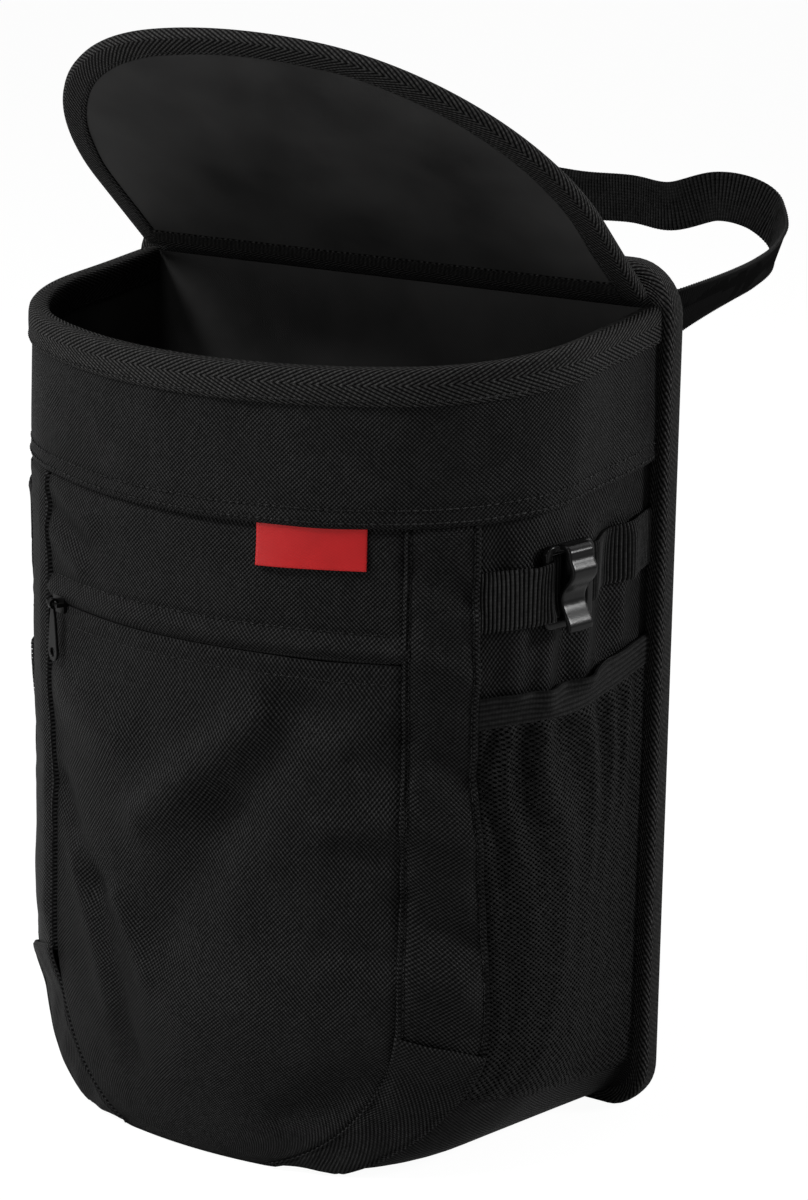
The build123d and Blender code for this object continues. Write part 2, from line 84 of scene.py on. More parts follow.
def node_box(node):
    """A node's lowest and highest corners, in millimetres."""
    low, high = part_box(node)
    return np.array(low) / MM, np.array(high) / MM


HALF_WIDTH, BACK_Y, RIM_HEIGHT = node_box("side_gusset")[1]
FRONT_Y = node_box("front_wall")[0][1]
FRONT_CENTRE_Y = FRONT_Y + FRONT_RADIUS
CORNER_X = HALF_WIDTH - SIDE_RADIUS
FRONT_EDGE_X = CORNER_X * FRONT_RADIUS / (FRONT_RADIUS - SIDE_RADIUS)
print(f"bag {2 * HALF_WIDTH:.0f} mm wide, rim {RIM_HEIGHT:.1f} mm high at the back")


# %% The wall as a function
def unit(vectors):
    """Vectors brought to length 1."""
    return vectors / np.linalg.norm(vectors, axis=-1, keepdims=True)


def bag_plan(z):
    """The wall's plan at each height: corner arc, the turns where arcs meet, and the three lengths."""
    drop = np.maximum(FRONT_LOWER_RADIUS - z, 0) / FRONT_LOWER_RADIUS
    share = np.sqrt(np.maximum(1 - drop ** 2, 0))
    radius = FLOOR_SIDE_RADIUS + (SIDE_RADIUS - FLOOR_SIDE_RADIUS) * share
    front_turn = np.arcsin((FRONT_EDGE_X - FRONT_LOWER_RADIUS * (1 - share)) / FRONT_RADIUS)
    centre_x = (FRONT_RADIUS - radius) * np.sin(front_turn)
    centre_y = FRONT_CENTRE_Y - (FRONT_RADIUS - radius) * np.cos(front_turn)
    back_drop = np.clip(BACK_LOWER_RADIUS - z, 0, BACK_LOWER_RADIUS)
    root_x = HALF_WIDTH - BACK_LOWER_RADIUS + np.sqrt(BACK_LOWER_RADIUS ** 2 - back_drop ** 2)
    away = np.hypot(root_x - centre_x, BACK_Y - centre_y)
    to_root = np.arctan2(BACK_Y - centre_y, root_x - centre_x)
    side_turn = to_root - np.arccos(np.minimum(radius / away, 1)) + math.pi / 2
    front_length = FRONT_RADIUS * front_turn
    corner_length = radius * (side_turn - front_turn)
    side_length = np.sqrt(np.maximum(away ** 2 - radius ** 2, 0))
    return radius, front_turn, centre_x, centre_y, front_length, corner_length, side_length


def wall_point(arc, z):
    """Points of the wall's face by arc length from the middle of the front and height, with tangents."""
    radius, front_turn, centre_x, centre_y, front_length, corner_length, _ = bag_plan(z)
    reach = np.abs(arc)
    on_front = reach < front_length
    round_corner = np.clip(reach - front_length, 0, corner_length)
    past = np.maximum(reach - front_length - corner_length, 0)
    turn = np.where(on_front, reach / FRONT_RADIUS, front_turn + round_corner / radius)
    across, ahead = np.sin(turn), np.cos(turn)
    x = np.where(on_front, FRONT_RADIUS * across, centre_x + radius * across + past * ahead)
    front_y = FRONT_CENTRE_Y - FRONT_RADIUS * ahead
    y = np.where(on_front, front_y, centre_y - radius * ahead + past * across)
    side = np.where(arc < 0, -1.0, 1.0)
    points = np.stack([side * x, y, z + 0 * x], -1)
    return points, np.stack([ahead, side * across, 0 * x], -1)


def on_wall(arc, z, out):
    """Points at a distance out from the wall's face, along its own normal."""
    here, along = wall_point(arc, z)
    above, _ = wall_point(arc, z + NORMAL_STEP)
    normal = unit(np.cross(along, above - here))
    return here + normal * np.reshape(out, (-1, 1))


def arc_at_x(x, z):
    """The arc length at which the wall's plan reaches x, at each height."""
    radius, front_turn, centre_x, _, front_length, _, _ = bag_plan(z)
    corner_turn = np.arcsin(np.clip((x - centre_x) / radius, -1, 1))
    on_corner = front_length + radius * (corner_turn - front_turn)
    on_front = FRONT_RADIUS * np.arcsin(np.minimum(x / FRONT_RADIUS, 1))
    return np.where(x < FRONT_RADIUS * np.sin(front_turn), on_front, on_corner)


def arc_at_back(z):
    """The arc length at which the wall meets the back panel, at each height."""
    lengths = bag_plan(z)[-3:]
    return sum(lengths) - BACK_TUCK


def band_height(base, arc):
    """The height of a line that falls to the front as the rim does; base is its height at the back."""
    points, _ = wall_point(arc, np.full_like(arc, RIM_HEIGHT))
    return base + RIM_SLOPE * (points[:, 1] - BACK_Y)


FULL_ARC = float(arc_at_back(np.array([RIM_HEIGHT]))[0])
print(f"the wall runs {2 * FULL_ARC:.0f} mm from back edge to back edge")

# %% [markdown]
# ## Slack in the cloth
# Sewn cloth never lies dead flat: it bellies between its seams and pulls into soft creases. A cloth
# simulation could find such folds, but these are known from the real bin, so they are laid as ridges and
# valleys on the wall, over a broad gentle noise. The plies on the wall read the same function, so they
# move together.

# %% Slack, noise and creases
SLACK_WAVES = ((1.3, 74, 3.1), (0.5, 31, 8.4))
FLOOR_FADE = 30.0
BACK_FADE = 25.0
COLLAR_FADE_FROM = 225.0
COLLAR_FADE = 40.0
COLLAR_HOLD = 0.6


def soft_noise(first, second, size, seed):
    """A smooth noise between -1 and 1 over two coordinates, with bumps of about the given size."""
    return np.array([noise.noise(Vector((a / size, b / size, seed))) for a, b in zip(first, second)])


def waves(first, second, *layers):
    """Layers of soft noise, each with its height, size and seed."""
    return sum(height * soft_noise(first, second, size, seed) for height, size, seed in layers)


def ease(value):
    """A smooth step from 0 to 1 as the value goes from 0 to 1."""
    value = np.clip(value, 0, 1)
    return value * value * (3 - 2 * value)


def ridge(away, width):
    """A smooth hump of height 1 where the distance is 0."""
    return np.exp(-(away / width) ** 2)


def crease(arc, z, start, end, width, height):
    """A soft ridge along a line on the wall, or a valley where its height is negative."""
    start, run = np.array(start), np.array(end) - np.array(start)
    offset = np.stack([arc, z], -1) - start
    along = np.clip(offset @ run / (run @ run), 0, 1)
    away = np.linalg.norm(offset - along[:, None] * run, axis=-1)
    return height * ridge(away, width)


# Each crease runs from one place to another, by arc and height, with its width and height
FRONT_CREASES = [
    ((28, 174), (-24, 128), 9, 4.2),
    ((44, 178), (14, 136), 11, -3.2),
    ((14, 136), (-13, 84), 13, -4.2),
    ((72, 66), (0, 56), 26, 5.0),
    ((78, 142), (58, 136), 8, 2.2),
    ((-76, 128), (-55, 92), 7, -2.8),
    ((-55, 92), (-29, 30), 7, -3.0),
    ((-66, 104), (-42, 50), 7, 2.4),
    ((-38, 92), (-22, 66), 5, 2.4),
    ((-70, 168), (-38, 158), 13, 3.0),
    ((82, 160), (66, 164), 5, -1.8),
    ((82, 128), (60, 130), 5, -1.8),
    ((80, 86), (58, 92), 6, -1.8),
    ((74, 42), (42, 20), 9, -3.4),
    ((38, 184), (58, 178), 7, -1.8),
    ((-80, 246), (-52, 236), 6, 2.0),
    ((-80, 228), (-60, 219), 6, 1.8),
    ((-78, 238), (-56, 226), 5, -1.6),
    ((88, 238), (104, 226), 6, -2.8),
    ((84, 206), (108, 196), 6, 2.4),
    ((86, 174), (106, 158), 7, -3.0),
    ((84, 140), (108, 132), 8, 2.6),
    ((86, 112), (106, 96), 7, -3.0),
    ((84, 84), (104, 78), 7, 2.2),
]
SIDE_CREASES = [
    ((126, 236), (124, 190), 5, 2.4),
    ((139, 214), (137, 184), 4.5, 2.6),
    ((151, 216), (149, 188), 5, -2.4),
    ((164, 240), (160, 190), 6, 2.8),
    ((178, 238), (176, 196), 6, -2.6),
    ((190, 236), (189, 200), 5, 2.4),
    ((118, 258), (116, 238), 5, -1.8),
    ((134, 260), (130, 240), 6, 2.0),
    ((158, 264), (154, 244), 6, -1.8),
    ((176, 264), (175, 246), 5, 1.8),
    ((150, 304), (149, 270), 7, 1.2),
    ((172, 304), (170, 266), 6, -1.4),
    ((187, 304), (187, 262), 5, 1.4),
]


def slump(arc, z):
    """How far the slack cloth stands out from the bag's form, in millimetres."""
    lift = waves(arc, z, *SLACK_WAVES)
    for line in FRONT_CREASES:
        lift = lift + crease(arc, z, *line)
    for line in SIDE_CREASES:
        lift = lift + crease(np.abs(arc), z, *line)
    free = 1 - COLLAR_HOLD * ease((z - COLLAR_FADE_FROM) / COLLAR_FADE)
    return lift * (ease(z / FLOOR_FADE) * free * ease((FULL_ARC - np.abs(arc)) / BACK_FADE))


print(len(FRONT_CREASES), "creases on the front,", len(SIDE_CREASES), "on each side")

# %% [markdown]
# ## Shader maths that reads like maths
# Each finish is built from nodes, so that it has no picture file and no fixed resolution. Wiring Math nodes
# by hand hides what they work out, so one small class wraps a socket: adding or multiplying two of them
# adds the node that does it, and one method adds any other node.


# %% A class that wraps a socket
class Strand:
    """One socket of a finish's node tree."""

    def __init__(self, tree, socket=None):
        self.tree = tree
        self.socket = socket

    def node(self, kind, settings, inputs, output=0):
        """Add a node: its settings first, then values or strands for its sockets."""
        made = self.tree.nodes.new(kind)
        for name, value in settings.items():
            setattr(made, name, value)
        for name, value in inputs.items():
            if isinstance(value, Strand):
                self.tree.links.new(value.socket, made.inputs[name])
            else:
                made.inputs[name].default_value = value
        return Strand(self.tree, made.outputs[output])

    def math(self, operation, first, second=0.0):
        return self.node("ShaderNodeMath", {"operation": operation}, {0: first, 1: second})

    def __add__(self, other):
        return self.math("ADD", self, other)

    def __radd__(self, other):
        return self.math("ADD", other, self)

    def __sub__(self, other):
        return self.math("SUBTRACT", self, other)

    def __rsub__(self, other):
        return self.math("SUBTRACT", other, self)

    def __mul__(self, other):
        return self.math("MULTIPLY", self, other)

    def __rmul__(self, other):
        return self.math("MULTIPLY", other, self)


print("a strand can be added, subtracted and multiplied")

# %% Helpers for finishes
CLOTH_UV = "cloth"


def start_finish(name, constants):
    """A new material: its socket wrapper, its shader and its fixed values set on the shader itself."""
    material = bpy.data.materials.new(name)
    material.use_nodes = True
    shader = material.node_tree.nodes["Principled BSDF"]
    for socket, value in constants.items():
        shader.inputs[socket].default_value = value
    return material, Strand(material.node_tree), shader


def feed(shader, sockets):
    """Link strands to the shader's sockets."""
    for name, strand in sockets.items():
        strand.tree.links.new(strand.socket, shader.inputs[name])


def cloth_axes(pen):
    """The two coordinates along a cloth, in metres, from its own UV map."""
    uv = pen.node("ShaderNodeUVMap", {"uv_map": CLOTH_UV}, {})
    return [pen.node("ShaderNodeSeparateXYZ", {}, {"Vector": uv}, axis) for axis in ("X", "Y")]


def wave(pen, value, pitch):
    """A sine of a length in metres that repeats at a pitch in millimetres."""
    return pen.math("SINE", value * (2 * math.pi / (pitch * MM)))


def blotch(pen, size, detail=3.0):
    """Slow noise over the whole object, with patches of about the given size in millimetres."""
    place = pen.node("ShaderNodeTexCoord", {}, {}, "Object")
    inputs = {"Vector": place, "Scale": 1 / (size * MM), "Detail": detail}
    return pen.node("ShaderNodeTexNoise", {}, inputs, 0)


def grey(level):
    return level, level, level


def tone(pen, factor, dark, light):
    """A colour between a dark and a light one."""
    inputs = {0: factor, 6: (*dark, 1), 7: (*light, 1)}
    return pen.node("ShaderNodeMix", {"data_type": "RGBA"}, inputs, 2)


def relief(pen, height, depth, strength):
    """A bump of a height between 0 and 1, raised by a depth in millimetres."""
    inputs = {"Strength": strength, "Distance": depth * MM, "Height": height}
    return pen.node("ShaderNodeBump", {}, inputs, 0)


print("shader helpers ready")

# %% [markdown]
# ## Finishes of cloth
# The bin is black, so its finishes tell themselves apart by weave and sheen. Oxford cloth is a plain weave
# of thick yarns: two crossed sines make its little hills, with painted highlights on the yarn tops and
# painted shade between them.
# Herringbone tape is a twill that turns back at each column, which a ping-pong of the width gives, and a
# crossing yarn breaks up its ribs, which are painted lighter on top with painted shade between. Satin is
# nearly
# smooth: a very fine twill under slow random patches of painted sheen. Pictures of real cloth would do too,
# but nodes stay sharp at any distance.

# %% Oxford weave, herringbone tape and satin
OXFORD_PITCH = 1.65
TAPE_PITCH = 1.45
TAPE_LEAN = 0.5
TAPE_COLUMN = 9.0
TAPE_CROSS_PITCH = 2.1
SATIN_PITCH = 0.8
CLOTH_SHEEN = 0.02
OXFORD_SHEEN = 0.04


def black_oxford():
    material, pen, shader = start_finish("black oxford weave", {"Specular IOR Level": OXFORD_SHEEN})
    across, up = cloth_axes(pen)
    lean = pen.node("ShaderNodeClamp", {"clamp_type": "MINMAX"}, {
        "Value": 3.0 * blotch(pen, 12) - 1.0, "Min": 0.4, "Max": 0.6})
    rising = wave(pen, across + up, OXFORD_PITCH)
    falling = wave(pen, across - up, OXFORD_PITCH)
    hills = 0.5 + 0.5 * (lean * rising + (1 - lean) * falling)
    yarns = blotch(pen, 1.7, 2.0)
    patches = blotch(pen, 22)
    # Painted highlight and shade: the base colour is lighter on the hill tops and darker between them, over
    # random yarn and patch tone.
    painted_sheen_and_tone = hills * hills * (0.3 + 1.5 * yarns) + 0.2 * patches - 0.1
    feed(shader, {
        "Base Color": tone(pen, painted_sheen_and_tone, grey(0.0003), (0.031, 0.031, 0.0312)),
        "Roughness": 0.62 - 0.26 * hills,
        "Normal": relief(pen, hills + 0.3 * yarns, 0.4, 1.0)})
    return material


def herringbone_tape():
    material, pen, shader = start_finish("herringbone binding tape", {"Specular IOR Level": CLOTH_SHEEN})
    along, width = cloth_axes(pen)
    slant = pen.math("PINGPONG", width, TAPE_COLUMN * MM)
    twill = 0.5 + 0.5 * wave(pen, TAPE_LEAN * along + slant, TAPE_PITCH)
    cross = 0.5 + 0.5 * wave(pen, along - TAPE_LEAN * slant, TAPE_CROSS_PITCH)
    ribs = twill * (0.55 + 0.45 * cross)
    fibres = blotch(pen, 1.2, 2.0)
    feed(shader, {
        # Painted highlight and shade: the base colour is lighter on the rib tops and darker between them,
        # over random fibre tone.
        "Base Color": tone(pen, ribs * (0.2 + 1.3 * fibres), grey(0.0003), (0.060, 0.0593, 0.0585)),
        "Roughness": 0.64 - 0.2 * ribs,
        "Normal": relief(pen, ribs + 0.3 * fibres, 0.4, 0.9)})
    return material


def satin_lining():
    material, pen, shader = start_finish("dark satin lining", {"Specular IOR Level": CLOTH_SHEEN})
    across, up = cloth_axes(pen)
    twill = 0.5 + 0.5 * wave(pen, across + up, SATIN_PITCH)
    patches = blotch(pen, 40)
    # Painted sheen: slow random patches, and a little of the twill, lighten the base colour.
    painted_sheen_and_tone = 0.2 * twill + 1.6 * patches - 0.4
    feed(shader, {
        "Base Color": tone(pen, painted_sheen_and_tone, grey(0.018), (0.050, 0.0495, 0.049)),
        "Roughness": 0.42 + 0.16 * patches,
        "Normal": relief(pen, twill, 0.05, 0.6)})
    return material


oxford = black_oxford()
tape = herringbone_tape()
satin = satin_lining()
print("made", oxford.name, tape.name, satin.name)

# %% [markdown]
# ## Finishes of webbing, elastic, mesh and thread
# Webbing and elastic have their ribs in the mesh, where they catch the light. Their finish paints shade into
# the valleys at the same pitch, paints the rib tops lighter as highlights, and lays a finer yarn across. The
# pocket mesh is a knit with rows of small holes; the holes are cut by the finish's alpha, because thousands
# of them in the mesh would cost far more than they show. Its strands are painted lighter in their middles.

# %% Webbing, elastic, mesh and thread
RIB_PITCH = 1.5
WEBBING_YARN = 1.3
ELASTIC_PITCH = 1.97
ELASTIC_YARN = 1.2
THREAD_PITCH = 9.0
MESH_PITCH_ACROSS = 3.5
MESH_PITCH_UP = 2.1
MESH_STRAY = 0.0016
MESH_HOLE = -0.3


def ribbed_yarn(name, rib_pitch, yarn_pitch, light, depth, along=False):
    """Yarn in ribs that run across the band, or along it."""
    material, pen, shader = start_finish(name, {"Specular IOR Level": CLOTH_SHEEN})
    first, second = cloth_axes(pen)
    if along:
        first, second = second, first
    ribs = (1 - depth) + depth * wave(pen, first, rib_pitch)
    yarn = ribs * (0.88 + 0.12 * wave(pen, second, yarn_pitch))
    fibres = blotch(pen, 1.5, 2.0)
    feed(shader, {
        # Painted shade and highlight: the base colour is darker in the valleys between ribs and lighter on
        # their tops, over random fibre tone.
        "Base Color": tone(pen, yarn * (0.2 + 1.2 * fibres), grey(0.0004), grey(light)),
        "Roughness": 0.62 - 0.2 * yarn,
        "Normal": relief(pen, yarn, 0.25, 0.9)})
    return material


def pocket_mesh():
    material, pen, shader = start_finish("knitted pocket mesh", {"Specular IOR Level": CLOTH_SHEEN})
    across, up = cloth_axes(pen)
    stray = MESH_STRAY * blotch(pen, 5)
    rows = wave(pen, across + stray, MESH_PITCH_ACROSS) * wave(pen, up + stray, MESH_PITCH_UP)
    strands = 0.5 + 0.5 * rows
    fibres = blotch(pen, 2.6, 2.0)
    holes = pen.math("LESS_THAN", rows, MESH_HOLE)
    feed(shader, {
        # Painted highlight and shade: the strands are lighter in their middles and darker towards the holes,
        # over random fibre tone.
        "Base Color": tone(pen, strands * (0.1 + 1.3 * fibres), grey(0.0004), grey(0.029)),
        "Roughness": 0.6 - 0.2 * strands,
        "Alpha": 1 - holes,
        "Normal": relief(pen, strands, 0.3, 0.9)})
    return material


webbing = ribbed_yarn("ribbed webbing", RIB_PITCH, WEBBING_YARN, 0.047, 0.5)
# The strap's webbing is the same webbing painted at half the lightness: painted shade.
shaded_strap_webbing = ribbed_yarn("ribbed strap webbing with painted shade", RIB_PITCH, WEBBING_YARN, 0.023, 0.5)
elastic = ribbed_yarn("ribbed elastic", ELASTIC_PITCH, ELASTIC_YARN, 0.024, 0.28, along=True)
# The thread is painted several times lighter than the cloth: painted sheen on black thread.
thread = ribbed_yarn("black sewing thread with painted sheen", THREAD_PITCH, THREAD_PITCH, 0.14, 0.5)
mesh_knit = pocket_mesh()
print("made", webbing.name, shaded_strap_webbing.name, elastic.name, thread.name, mesh_knit.name)

# %% [markdown]
# ## Finishes of the tag, plastic, metal and board
# The red tag is woven satin: fine crosswise ribs over a strong red, with painted highlight and shade on the
# ribs. The clips are moulded plastic, so black and glossy with a little grain. The zip's slider is metal
# under glossy black paint, and a few sizes of noise are enough for it. The boards stay hidden, so they get a
# plain dull finish.


# %% Tag, plastic, metal and board
def red_satin():
    material, pen, shader = start_finish("red woven satin", {"Specular IOR Level": 0.2})
    across, up = cloth_axes(pen)
    ribs = 0.5 + 0.5 * (wave(pen, up, 0.55) * wave(pen, across, 1.6))
    patches = blotch(pen, 12)
    feed(shader, {
        # Painted highlight and shade: half the red follows the ribs, lighter on their tops and darker
        # between; the other half is random patches.
        "Base Color": tone(pen, 0.5 * ribs + 0.5 * patches, (0.31, 0.006, 0.007), (0.56, 0.013, 0.015)),
        "Roughness": 0.5 - 0.14 * ribs,
        "Normal": relief(pen, ribs, 0.06, 0.6)})
    return material


def moulded(name, dark, light, roughness, gloss, grain):
    """A hard finish with a grain of the given size in millimetres."""
    material, pen, shader = start_finish(name, {"Specular IOR Level": gloss})
    speckle = blotch(pen, grain, 4.0)
    broad = blotch(pen, 9, 2.0)
    feed(shader, {
        "Base Color": tone(pen, broad, dark, light),
        "Roughness": roughness + 0.12 * speckle,
        "Normal": relief(pen, speckle, 0.02, 0.3)})
    return material


red = red_satin()
plastic = moulded("glossy black plastic", grey(0.003), grey(0.006), 0.19, 0.13, 0.6)
coil_nylon = moulded("zip coil nylon", grey(0.001), grey(0.003), 0.5, 0.15, 0.5)
zip_paint = moulded("black painted zip metal", grey(0.002), grey(0.004), 0.25, 0.12, 0.5)
board = moulded("stiff board", grey(0.02), (0.035, 0.034, 0.033), 0.75, 0.2, 2.0)
print("made", red.name, plastic.name, coil_nylon.name, zip_paint.name, board.name)

# %% [markdown]
# ## Cutting and laying cloth
# Every cloth starts as a flat grid, as it would on a cutting table. Its UV map keeps the flat size, so the
# weave follows the cloth wherever it bends. Then each point is set on the form, Solidify gives the ply its
# thickness, and the piece is told which body it rides on and which plain solid it stands for.


# %% Helpers that cut, lay and thicken
def cut_cloth(name, squares, flat, place):
    """A flat grid of squares (columns, rows), laid by place(across, up), both from 0 to 1."""
    bpy.ops.object.select_all(action="DESELECT")
    bpy.ops.mesh.primitive_grid_add(x_subdivisions=squares[0], y_subdivisions=squares[1], size=1)
    cloth = bpy.context.object
    cloth.name = name
    mesh = cloth.data
    mesh.name = name
    flat_points = np.empty(len(mesh.vertices) * 3)
    mesh.vertices.foreach_get("co", flat_points)
    flat_points = flat_points.reshape(-1, 3)[:, :2] + 0.5
    corner_points = np.empty(len(mesh.loops), int)
    mesh.loops.foreach_get("vertex_index", corner_points)
    uv = mesh.uv_layers[0]
    uv.name = CLOTH_UV
    uv.data.foreach_set("uv", (flat_points[corner_points] * np.array(flat) * MM).ravel())
    laid = place(flat_points[:, 0], flat_points[:, 1])
    mesh.vertices.foreach_set("co", (laid * MM).ravel())
    mesh.update()
    return cloth


def edit_whole(operator, **settings):
    """Run an edit mode operator on the whole of the active piece."""
    bpy.ops.object.mode_set(mode="EDIT")
    bpy.ops.mesh.select_all(action="SELECT")
    operator(**settings)
    bpy.ops.object.mode_set(mode="OBJECT")


def weld(distance=0.02):
    """Close a seam where the active piece meets itself."""
    edit_whole(bpy.ops.mesh.remove_doubles, threshold=distance * MM)


def apply_modifier(piece, kind, **settings):
    """Add a modifier with its settings and apply it."""
    modifier = piece.modifiers.new(kind.lower(), kind)
    for name, value in settings.items():
        setattr(modifier, name, value)
    bpy.ops.object.modifier_apply(modifier=modifier.name)


def thicken(piece, thickness, offset=-1.0):
    """Give a laid cloth its thickness, to the side that the offset says."""
    apply_modifier(piece, "SOLIDIFY", thickness=thickness * MM, offset=offset)


def paint(piece, finish):
    piece.data.materials.clear()
    piece.data.materials.append(finish)


def dress(piece, finish, body, nodes=(), angle=50):
    """Shade a piece, give it its finish, and say what it rides on and which nodes it stands for."""
    bpy.ops.object.shade_smooth_by_angle(angle=math.radians(angle))
    paint(piece, finish)
    if body:
        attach(piece, body)
    if nodes:
        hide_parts(*nodes)
    print(f"{piece.name}: {len(piece.data.polygons)} faces")


def declare(flat, cut_share=1.0):
    """Work out the area of a piece's cut rectangle at the share that was used; nothing keeps the value."""
    width, length = flat[0] * MM, flat[1] * MM
    cut_share * width * length


def make_sheet(name, squares, flat, place, ply, finish, node,
               body="bag", cut_share=1.0, offset=-1.0, closed=False):
    """A cloth that stands for a node: cut, welded when closed, thickened and dressed."""
    cloth = cut_cloth(name, squares, flat, place)
    if closed:
        weld()
    thicken(cloth, ply, offset)
    dress(cloth, finish, body, [node])
    declare(flat, cut_share)
    return cloth


print("ready to cut cloth")

# %% [markdown]
# ## Stitches
# Black thread on black cloth shows as a row of small bright dashes in a slight groove; its finish is painted
# several times lighter than the cloth, as painted sheen. One stitch is modelled from a sphere, drawn out
# along the seam and pressed flat, and copies of its mesh are set along each seam line.

# %% Model one stitch
STITCH_PITCH = 2.9
STITCH_LENGTH = 2.2
STITCH_WIDTH = 0.75
STITCH_HEIGHT = 0.55
TANGENT_STEP = 0.3
THREAD_LIFT = 0.2

bpy.ops.object.select_all(action="DESELECT")
bpy.ops.mesh.primitive_uv_sphere_add(segments=6, ring_count=5, radius=0.5)
stitch = bpy.context.object
edit_whole(bpy.ops.transform.rotate, value=math.pi / 2, orient_axis="Y", center_override=(0, 0, 0))
edit_whole(bpy.ops.transform.resize, value=(STITCH_LENGTH, STITCH_WIDTH, STITCH_HEIGHT))
stitch_points = np.array([vertex.co for vertex in stitch.data.vertices])
# A new sphere lists its faces in no fixed order, so they are sorted to make every run the same
stitch_faces = sorted(list(face.vertices) for face in stitch.data.polygons)
bpy.data.objects.remove(stitch)
print(f"one stitch has {len(stitch_faces)} faces")


# %% Set copies of it along a seam
def path_length(points):
    """The length along a path from its start to each of its points."""
    gaps = np.linalg.norm(np.diff(points, axis=0), axis=1)
    return np.concatenate([[0], np.cumsum(gaps)])


def between(length, values, where):
    """Values along a path, column by column, at some lengths."""
    return np.stack([np.interp(where, length, column) for column in values.T], -1)


def activate(piece):
    """Link a new piece to the scene and make it the only selected and active one."""
    bpy.context.collection.objects.link(piece)
    bpy.ops.object.select_all(action="DESELECT")
    piece.select_set(True)
    bpy.context.view_layer.objects.active = piece


def sew(name, lines, body):
    """One piece of thread stitches along several seam lines, each points and outward normals."""
    vertices, faces, count = [], [], 0
    for points, normals in lines:
        length = path_length(points)
        steps = np.arange(STITCH_PITCH / 2, length[-1], STITCH_PITCH)
        places = between(length, points, steps)
        ahead, behind = [between(length, points, steps + step) for step in (TANGENT_STEP, -TANGENT_STEP)]
        tangents = unit(ahead - behind)
        outs = unit(between(length, normals, steps))
        sides = np.cross(outs, tangents)
        for place, out, tangent, side in zip(places, outs, tangents, sides):
            vertices.append(place + stitch_points @ np.stack([tangent, side, out]))
            faces.extend([[corner + count for corner in face] for face in stitch_faces])
            count += len(stitch_points)
    mesh = bpy.data.meshes.new(name)
    mesh.from_pydata(np.concatenate(vertices) * MM, [], faces)
    mesh.uv_layers.new(name=CLOTH_UV)
    piece = bpy.data.objects.new(name, mesh)
    activate(piece)
    dress(piece, thread, body, angle=180)


def wall_seam(arc, z, out):
    """A seam line on the wall: its points and their outward normals."""
    points = on_wall(arc, z, out)
    return points, on_wall(arc, z, out + 1) - points


print(f"stitches of {STITCH_LENGTH} mm every {STITCH_PITCH} mm")

# %% [markdown]
# ## The front: wall, zip pocket and yoke
# The front panel is a U: straight sides, round lower corners, a short straight foot. A zip splits it, with
# the pocket below and the yoke above, each edge turned under into a lip that hides the coil. Near every
# seam the cloth dips, because the thread pulls it down, and that dip is what makes a panel look sewn rather
# than printed.

# %% Measures of the front
PANEL_HALF_WIDTH = 79.5
PANEL_LOWER_RADIUS = 66.0
SEAM_SINK = 1.0
SIDE_TUCK = 3.0
COLLAR_HEIGHT = 57.3
ZIP_HEIGHT = 201.5
FOLD_HEIGHT = RIM_HEIGHT - COLLAR_HEIGHT
UNDER_COLLAR = 1.5
POCKET_OUT = 1.8
LIP_OUT = 2.2
LIP_RUN = 7.0
LIP_ROLL = 0.7
ROLL_RUN = 1.2
PLY = 0.9
WALL_PLY = 1.6
ROW_BELOW_ZIP = 8.0
ROW_ABOVE_ZIP = 10.2
ROW_REACH = 78.0


def u_edge(half_width, lower_radius, z):
    """How far from the middle a U-shaped panel reaches at a height."""
    rise = np.minimum(z + SEAM_SINK, lower_radius)
    return half_width - lower_radius + np.sqrt(lower_radius ** 2 - (lower_radius - rise) ** 2)


def panel_arc(z, tuck=0.0):
    """The arc length of the front panel's edge at a height."""
    return arc_at_x(u_edge(PANEL_HALF_WIDTH, PANEL_LOWER_RADIUS, z), z) + tuck


def slit_gap(arc):
    """Half the zip's opening: nearly shut, and agape towards its right end."""
    return 0.3 + 0.55 * ridge(arc - 52, 20)


print(f"front panel {2 * PANEL_HALF_WIDTH:.0f} mm wide, zip {ZIP_HEIGHT} mm high")


# %% Lay the front wall behind the pocket
def lay_front_wall(across, up):
    z = 0.8 + (RIM_HEIGHT - 14.5) * up ** 1.5
    arc = (2 * across - 1) * panel_arc(z)
    return on_wall(arc, z, slump(arc, z) - 0.5)


make_sheet("front_wall_cloth", (44, 80), (160, 310), lay_front_wall, WALL_PLY, oxford,
           "front_wall", cut_share=0.95)


# %% Lay the pocket
def pocket_out(arc, z):
    """The pocket cloth's face: dips at the side and floor seams, swells to a lip at the zip."""
    to_seam = np.minimum(panel_arc(z, SIDE_TUCK) - np.abs(arc), z + 0.5)
    dip = -1.5 * (1 - ease(to_seam / 5.5))
    lip = (LIP_OUT - POCKET_OUT) * ease((z - ZIP_HEIGHT + 9) / LIP_RUN)
    row = -0.5 * ridge(z - ZIP_HEIGHT + ROW_BELOW_ZIP, 1.2)
    bead = 0.7 * ridge(z - ZIP_HEIGHT + 1.4, 1.0)
    return POCKET_OUT + slump(arc, z) + dip + lip + row + bead


def lay_pocket(across, up):
    rise = up ** 1.45
    arc = (2 * across - 1) * panel_arc(ZIP_HEIGHT * rise, SIDE_TUCK)
    top = ZIP_HEIGHT - slit_gap(arc)
    z = 0.6 + (top - 0.6) * rise
    roll = LIP_ROLL * (1 - ease((top - z) / ROLL_RUN))
    return on_wall(arc, z, pocket_out(arc, z) - roll)


make_sheet("pocket_cloth", (96, 130), (168, 206), lay_pocket, PLY, oxford,
           "pocket_panel", cut_share=0.93)


